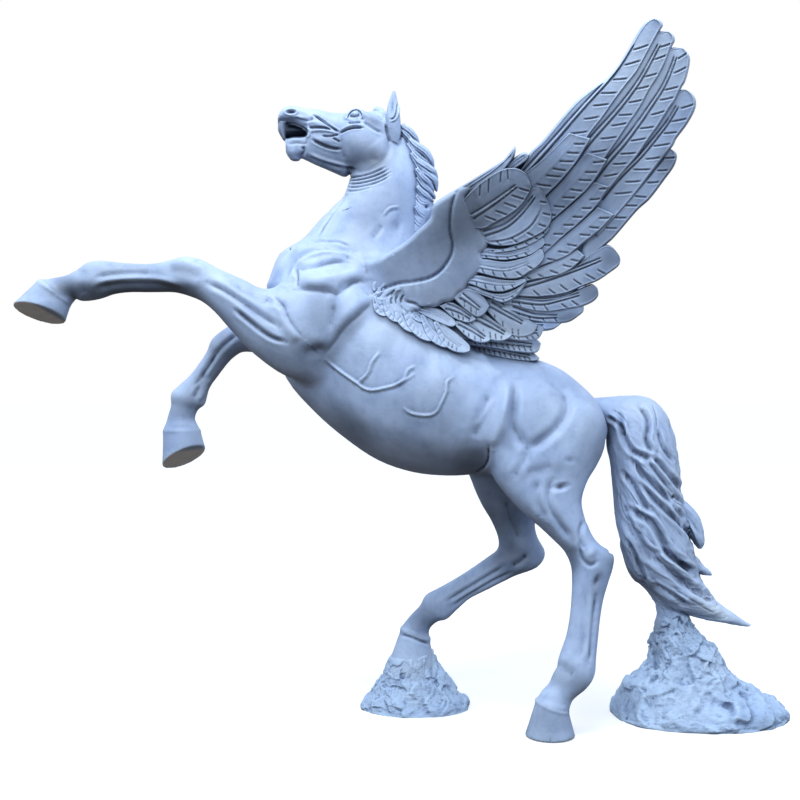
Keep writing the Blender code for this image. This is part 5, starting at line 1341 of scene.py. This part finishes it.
def cast_finish(name, light=(0.54, 0.685, 0.95), mid=(0.38, 0.51, 0.785), dark=(0.050, 0.070, 0.13), underside_shade=(0.13, 0.115, 0.115), rough=0.42, grain=1.0, crease=1.0):
    """Pale blue-grey paint, mottled, with painted shade darkening the hollows, painted highlight on the ridges, painted
    brown-grey shade on the undersides, and painted light and shade from the stored tone.
    """
    m = bpy.data.materials.new(name)
    m.use_nodes = True
    t = m.node_tree
    shader = t.nodes["Principled BSDF"]
    shader.inputs["Roughness"].default_value = rough
    shader.inputs["IOR"].default_value = 1.46
    place = t.nodes.new("ShaderNodeTexCoord").outputs["Object"]
    big = node_of(t, "ShaderNodeTexNoise", Scale=3.2, Detail=5.0, Roughness=0.62)
    small = node_of(t, "ShaderNodeTexNoise", Scale=26.0, Detail=4.0, Roughness=0.6)
    fine = node_of(t, "ShaderNodeTexNoise", Scale=170.0, Detail=2.0, Roughness=0.6)
    for n in (big, small, fine):
        t.links.new(place, n.inputs["Vector"])
    base = ramp(t, [(0.32, mid), (0.66, light)], big.outputs["Fac"]).outputs[0]
    speck = ramp(t, [(0.30, (0.80, 0.82, 0.86)), (0.52, (1, 1, 1)), (0.8, (1.03, 1.03, 1.02))], small.outputs["Fac"]).outputs[0]
    base = blend_colour(t, "MULTIPLY", 0.65, base, speck)
    # painted light: where the stored tone (painted light and shade with a little mottle) is above zero, the colour is
    # lifted towards pale blue-white
    light_shade_tone = node_of(t, "ShaderNodeAttribute", attribute_name="painted_light_shade_and_mottle")
    base = blend_colour(t, "MIX", scaled(t, light_shade_tone.outputs["Fac"], 0.6), base, (0.76, 0.88, 1.0))
    # painted shade on the undersides: faces turned down are mixed towards a dark brown-grey
    geo = t.nodes.new("ShaderNodeNewGeometry")
    split = t.nodes.new("ShaderNodeSeparateXYZ")
    t.links.new(geo.outputs["Normal"], split.inputs[0])
    down = ramp(t, [(0.0, (1, 1, 1)), (0.16, (0.7, 0.7, 0.7)), (0.34, (0, 0, 0))], add_half(t, split.outputs["Z"])).outputs[0]
    base = blend_colour(t, "MIX", scaled(t, down, 0.66), base, underside_shade)
    # painted shade darkening the hollows and creases, and painted highlight lightening the ridges
    for key, low, high, strength in (("hollow", 0.015, 0.20, 0.85 * crease), ("hollow_broad", 0.25, 1.5, 0.55 * crease)):
        a = node_of(t, "ShaderNodeAttribute", attribute_name=key)
        f = ramp(t, [(0.0, (0, 0, 0)), (1.0, (1, 1, 1))], spread(t, a.outputs["Fac"], low, high)).outputs[0]
        base = blend_colour(t, "MIX", scaled(t, f, strength), base, dark)
        f2 = ramp(t, [(0.0, (0, 0, 0)), (1.0, (1, 1, 1))], spread(t, a.outputs["Fac"], -low, -high)).outputs[0]
        base = blend_colour(t, "MIX", scaled(t, f2, 0.5 * crease), base, tuple(min(1.0, c * 1.16) for c in light))
    bare = node_of(t, "ShaderNodeAttribute", attribute_name="sole")
    base = blend_colour(t, "MIX", scaled(t, bare.outputs["Fac"], 0.9), base, blend_colour(t, "MIX", small.outputs["Fac"], (0.60, 0.54, 0.485), (0.86, 0.79, 0.72)))
    # painted shade inside the mouth: near-black colour and less specular there
    inner = node_of(t, "ShaderNodeAttribute", attribute_name="shade")
    base = blend_colour(t, "MIX", inner.outputs["Fac"], base, tuple(c * 0.16 for c in dark))
    ao = node_of(t, "ShaderNodeAmbientOcclusion", samples=6, Distance=0.06)
    shade = ramp(t, [(0.30, dark), (0.82, (1, 1, 1))], ao.outputs["AO"]).outputs[0]
    base = blend_colour(t, "MULTIPLY", 0.7, base, shade)
    # painted shade: where the stored tone is below zero, the colour is scaled down by two to the power of the tone
    power = node_of(t, "ShaderNodeMath", operation="POWER")
    power.inputs[0].default_value = 2.0
    t.links.new(light_shade_tone.outputs["Fac"], power.inputs[1])
    least = node_of(t, "ShaderNodeMath", operation="MINIMUM")
    least.inputs[1].default_value = 1.0
    t.links.new(power.outputs[0], least.inputs[0])
    painted_shade_dim = node_of(t, "ShaderNodeVectorMath", operation="SCALE")
    t.links.new(base, painted_shade_dim.inputs[0])
    t.links.new(least.outputs[0], painted_shade_dim.inputs["Scale"])
    t.links.new(painted_shade_dim.outputs[0], shader.inputs["Base Color"])
    sheen = node_of(t, "ShaderNodeMath", operation="MULTIPLY_ADD")
    sheen.inputs[1].default_value, sheen.inputs[2].default_value = -0.5, 0.5
    t.links.new(inner.outputs["Fac"], sheen.inputs[0])
    t.links.new(sheen.outputs[0], shader.inputs["Specular IOR Level"])
    r = ramp(t, [(0.3, (rough - 0.08,) * 3), (0.7, (rough + 0.12,) * 3)], small.outputs["Fac"]).outputs[0]
    t.links.new(r, shader.inputs["Roughness"])
    bump = node_of(t, "ShaderNodeBump", Strength=0.35 * grain, Distance=0.0012)
    t.links.new(fine.outputs["Fac"], bump.inputs["Height"])
    bump2 = node_of(t, "ShaderNodeBump", Strength=0.3 * grain, Distance=0.006)
    t.links.new(small.outputs["Fac"], bump2.inputs["Height"])
    t.links.new(bump.outputs[0], bump2.inputs["Normal"])
    t.links.new(bump2.outputs[0], shader.inputs["Normal"])
    return m


def add_half(t, socket):
    n = node_of(t, "ShaderNodeMath", operation="MULTIPLY_ADD")
    n.inputs[1].default_value, n.inputs[2].default_value = 0.5, 0.5
    t.links.new(socket, n.inputs[0])
    return n.outputs[0]


def scaled(t, socket, by):
    n = node_of(t, "ShaderNodeMath", operation="MULTIPLY")
    n.inputs[1].default_value = by
    t.links.new(socket, n.inputs[0])
    return n.outputs[0]


def spread(t, socket, low, high):
    n = t.nodes.new("ShaderNodeMapRange")
    n.inputs["From Min"].default_value, n.inputs["From Max"].default_value = low, high
    t.links.new(socket, n.inputs["Value"])
    return n.outputs["Result"]


# Painted shade and painted light: blobs where the surface is darker or lighter because of how light falls on it.
# Columns are centre and half sizes on the drawing, turn, share of the tone left, and the side.
PAINTED_LIGHT_AND_SHADE = [
    ((340, 153), (40, 15), 12, 0.52, "both"), ((336, 168), (22, 7), 22, 0.62, "both"), ((366, 163), (20, 10), -10, 0.56, "both"), ((362, 145), (20, 14), 0, 0.8, "both"), ((392, 138), (8, 12), 0, 0.8, "both"),
    ((482, 205), (46, 27), -42, 0.40, "both"), ((444, 236), (30, 22), -45, 0.66, "both"), ((545, 183), (27, 26), -30, 0.46, "both"), ((560, 215), (24, 14), -45, 0.80, "both"), ((603, 176), (38, 28), -50, 0.64, "both"),
    ((612, 256), (12, 8), -20, 0.62, "both"), ((590, 292), (14, 9), -10, 0.66, "both"), ((570, 318), (14, 6), 0, 0.62, "both"), ((668, 160), (12, 10), -50, 0.62, "both"),
    ((112, 289), (60, 8), -2, 0.30, "near"), ((182, 291), (20, 8), 15, 0.5, "near"), ((72, 288), (22, 10), 20, 0.62, "near"), ((312, 350), (24, 13), 20, 0.46, "near"), ((285, 356), (24, 9), 30, 0.62, "near"),
    ((346, 332), (9, 34), 38, 0.66, "both"), ((255, 303), (60, 28), 30, 0.86, "near"), ((380, 222), (34, 46), 20, 0.74, "both"),
    ((312, 350), (24, 13), 20, 0.5, "far_mirror"), ((207, 380), (13, 24), 35, 0.6, "far"), ((182, 410), (16, 12), 0, 0.66, "far"),
    ((352, 425), (26, 12), 42, 0.50, "both"), ((415, 447), (50, 12), 22, 0.72, "both"), ((471, 462), (16, 20), 15, 0.42, "both"), ((430, 412), (44, 22), 14, 0.66, "both"), ((452, 388), (24, 12), 0, 0.8, "both"),
    ((500, 515), (26, 44), -8, 0.34, "far"), ((515, 562), (22, 16), 0, 0.5, "far"), ((455, 592), (40, 14), -30, 0.74, "far"), ((424, 622), (15, 15), 0, 0.5, "far"),
    ((571, 562), (8, 16), 0, 0.55, "near"), ((563, 674), (16, 13), 0, 0.68, "near"), ((580, 690), (14, 12), 0, 0.72, "near"), ((603, 448), (9, 28), 12, 0.66, "near"), ((545, 470), (34, 5), -12, 0.74, "near"),
    ((512, 415), (5, 32), 4, 0.8, "both"), ((597, 585), (5, 14), 15, 0.66, "near"),
    ((628, 563), (22, 18), 35, 0.52, "both"), ((618, 470), (9, 46), 0, 0.80, "both"), ((645, 590), (16, 9), 25, 0.6, "both"), ((694, 560), (12, 14), 30, 0.8, "both"),
    ((655, 640), (9, 26), 5, 0.50, "both"), ((622, 708), (14, 14), 0, 0.74, "both"), ((756, 722), (34, 8), 5, 0.82, "both"), ((420, 700), (34, 8), 0, 0.85, "both"),
    ((640, 409), (26, 12), 0, 1.3, "both"), ((716, 612), (20, 8), 20, 1.4, "both"), ((410, 688), (30, 26), 0, 1.2, "both"), ((550, 722), (28, 20), 0, 0.72, "near"), ((222, 345), (18, 14), 0, 0.8, "far"),
    ((470, 318), (74, 22), 28, 1.3, "both"), ((440, 345), (60, 14), 24, 1.25, "both"), ((650, 70), (34, 46), 30, 1.5, "both"), ((520, 332), (30, 14), 10, 1.35, "both"), ((515, 350), (30, 12), 12, 1.5, "both"),
    ((530, 285), (44, 26), 0, 1.3, "both"), ((690, 680), (70, 40), 20, 1.15, "both"),
    ((373, 121.5), (12, 5), 32, 0.60, "both"), ((282, 131), (4.4, 9), 0, 0.50, "both"), ((378, 157), (8, 8), 0, 0.70, "both"), ((120, 270), (52, 10), 0, 0.76, "near"), ((325, 312), (20, 24), -20, 0.80, "both"),
    ((360, 316), (8, 22), 42, 0.78, "both"), ((362, 228), (24, 20), 0, 0.86, "both"), ((222, 352), (12, 16), 35, 0.72, "far"), ((650, 640), (9, 22), 5, 0.72, "both"), ((550, 408), (22, 20), 0, 0.86, "both"),
    ((646, 408), (26, 12), 10, 1.22, "both"), ((720, 614), (20, 7), 20, 1.3, "both"), ((386, 336), (24, 18), 20, 1.25, "both"), ((332, 281), (26, 5), -10, 0.86, "both"),
    ((184, 272), (17, 7), 8, 0.80, "near"), ((322, 318), (16, 22), -10, 0.80, "both"), ((545, 722), (26, 16), 0, 0.88, "near"), ((66, 284), (14, 9), 20, 0.8, "near"), ((230, 320), (22, 20), 30, 0.9, "near"),
    ((146, 286), (44, 4.2), 0, 0.60, "near"), ((186, 270), (15, 7), 12, 0.76, "near"), ((140, 269), (50, 7), 0, 0.86, "near"), ((532, 436), (16, 11), -20, 0.80, "both"), ((592, 430), (13, 30), 10, 0.86, "both"),
    ((300, 111), (16, 6), 8, 1.25, "both"), ((710, 602), (24, 9), 25, 1.25, "both"), ((425, 690), (30, 22), 0, 1.1, "both"), ((372, 150), (20, 14), 0, 0.9, "both"),
]


def painted_light_shade_and_mottle(obj):
    """Stores the painted light and shade of the table at each vertex, with a little random mottle added."""
    co = coords(obj)
    u0, v0 = to_drawing(co)
    um, vm = to_drawing(co, True)
    near = co[:, 1] < 0
    light_shade_tone = np.zeros(len(co))
    for (cu, cv), (ru, rv), turn, share, side in PAINTED_LIGHT_AND_SHADE:
        if side == "near":
            u, v, on = u0, v0, near
        elif side == "far":
            u, v, on = u0, v0, ~near
        elif side == "far_mirror":
            u, v, on = um, vm, ~near
        else:
            u, v, on = np.where(near, u0, um), np.where(near, v0, vm), True
        c, s = math.cos(math.radians(turn)), math.sin(math.radians(turn))
        x, y = ((u - cu) * c + (v - cv) * s) / ru, (-(u - cu) * s + (v - cv) * c) / rv
        light_shade_tone += np.where(on, np.exp(-(x * x + y * y) ** 1.4 * 0.9), 0) * math.log2(share)
    light_shade_tone += 0.10 * fbm(co, 9.0, 3, 77)
    a = obj.data.attributes.new("painted_light_shade_and_mottle", "FLOAT", "POINT")
    a.data.foreach_set("value", np.clip(light_shade_tone, -2.6, 1.0).astype(np.float32))


def soles(obj):
    """Stores where the raised hooves show their bare underside."""
    co, n = coords(obj), normals(obj)
    out = np.zeros(len(co))
    for key in ("near_fore", "far_fore"):
        top, foot = HOOVES[key]
        a = to_space((top[0] + top[2]) / 2, (top[1] + top[3]) / 2, top[4])
        b = to_space((foot[0] + foot[2]) / 2, (foot[1] + foot[3]) / 2, foot[4])
        axis = (b - a) / np.linalg.norm(b - a)
        reach = np.linalg.norm(co - b, axis=1) / UNIT
        out = np.maximum(out, smoothstep(0.45, 0.62, n @ axis) * smoothstep(34, 30, reach) * smoothstep(-9, -5, (co - b) @ axis / UNIT))
    a = obj.data.attributes.new("sole", "FLOAT", "POINT")
    a.data.foreach_set("value", out.astype(np.float32))


CAST = cast_finish("cast_paint")
STONE = cast_finish("stone_paint", light=(0.53, 0.70, 0.95), mid=(0.38, 0.53, 0.80), dark=(0.07, 0.11, 0.22), rough=0.6, grain=2.6, crease=0.6)
for obj in (stone_tail, stone_hoof):
    obj.data.materials.clear()
    obj.data.materials.append(STONE)
    painted_light_shade_and_mottle(obj)
for obj in list(bpy.data.objects):
    if obj.type == "MESH" and obj.name.startswith(("horse_", "wing_", "tail_", "mane_")) and obj.name not in frame["nodes"]:
        obj.data.materials.clear()
        obj.data.materials.append(CAST)
        painted_light_shade_and_mottle(obj)
        if obj.name == "horse_body":
            soles(obj)

# ------------------------------------------------------------------ stage
floor_mesh = bmesh.new()
bmesh.ops.create_grid(floor_mesh, x_segments=8, y_segments=8, size=600.0)
floor_data = bpy.data.meshes.new("floor")
floor_mesh.to_mesh(floor_data)
floor_mesh.free()
floor = bpy.data.objects.new("floor", floor_data)
bpy.context.scene.collection.objects.link(floor)
floor.location = (0, 0, -0.0006)
floor_paint = bpy.data.materials.new("floor_paint")
floor_paint.use_nodes = True
fp = floor_paint.node_tree.nodes["Principled BSDF"]
fp.inputs["Base Color"].default_value = (0.80, 0.80, 0.80, 1)
fp.inputs["Roughness"].default_value = 0.9
fp.inputs["Specular IOR Level"].default_value = 0.1
fp.inputs["Emission Color"].default_value = (0.95, 0.97, 1.0, 1)
fp.inputs["Emission Strength"].default_value = 0.42
floor.data.materials.append(floor_paint)
floor.visible_diffuse = False
floor.visible_glossy = False

world = bpy.data.worlds.new("studio")
bpy.context.scene.world = world
world.use_nodes = True
wt = world.node_tree
direction = wt.nodes.new("ShaderNodeTexCoord").outputs["Generated"]
wsplit = wt.nodes.new("ShaderNodeSeparateXYZ")
wt.links.new(direction, wsplit.inputs[0])
sky = ramp(wt, [(0.0, (0.13, 0.125, 0.12)), (0.485, (0.20, 0.20, 0.20)), (0.4995, (0.84, 0.91, 1.0)), (0.62, (0.84, 0.94, 1.08)), (1.0, (0.90, 1.0, 1.14))], add_half(wt, wsplit.outputs["Z"]))
wt.links.new(sky.outputs[0], wt.nodes["Background"].inputs[0])
wt.nodes["Background"].inputs[1].default_value = 0.84
backdrop = wt.nodes.new("ShaderNodeBackground")
backdrop.inputs[0].default_value, backdrop.inputs[1].default_value = (1.0, 1.0, 1.0, 1), 1.0
seen = wt.nodes.new("ShaderNodeLightPath")
either = wt.nodes.new("ShaderNodeMixShader")
wt.links.new(seen.outputs["Is Camera Ray"], either.inputs[0])
wt.links.new(wt.nodes["Background"].outputs[0], either.inputs[1])
wt.links.new(backdrop.outputs[0], either.inputs[2])
wt.links.new(either.outputs[0], wt.nodes["World Output"].inputs[0])


def soft_light(name, location, target, size, power, colour):
    data = bpy.data.lights.new(name, "AREA")
    data.shape, data.size, data.energy, data.color = "DISK", size, power, colour
    obj = bpy.data.objects.new(name, data)
    bpy.context.scene.collection.objects.link(obj)
    obj.location = location
    obj.rotation_euler = (Vector(target) - Vector(location)).to_track_quat("-Z", "Y").to_euler()
    return obj


soft_light("key", (-0.6, -2.6, 7.6), (0.1, 0, 1.6), 3.0, 235, (0.97, 0.99, 1.0))
soft_light("fill", (-1.2, -6.6, 5.2), (0.3, 0, 1.5), 3.0, 150, (0.90, 0.96, 1.0))

camera_data = bpy.data.cameras.new("camera")
camera = bpy.data.objects.new("camera", camera_data)
bpy.context.scene.collection.objects.link(camera)
camera.location = ((0 - PLAN_X) * UNIT, -EYE * UNIT, -FLOOR * UNIT)
camera.rotation_euler = (math.radians(90), 0, 0)
camera_data.sensor_width = 36.0
camera_data.lens = 36.0 * EYE / 800.0
camera_data.clip_end = 3000.0
bpy.context.scene.camera = camera
bpy.context.scene.view_settings.view_transform = "Standard"
bpy.context.scene.view_settings.look = "None"

bpy.context.view_layer.update()
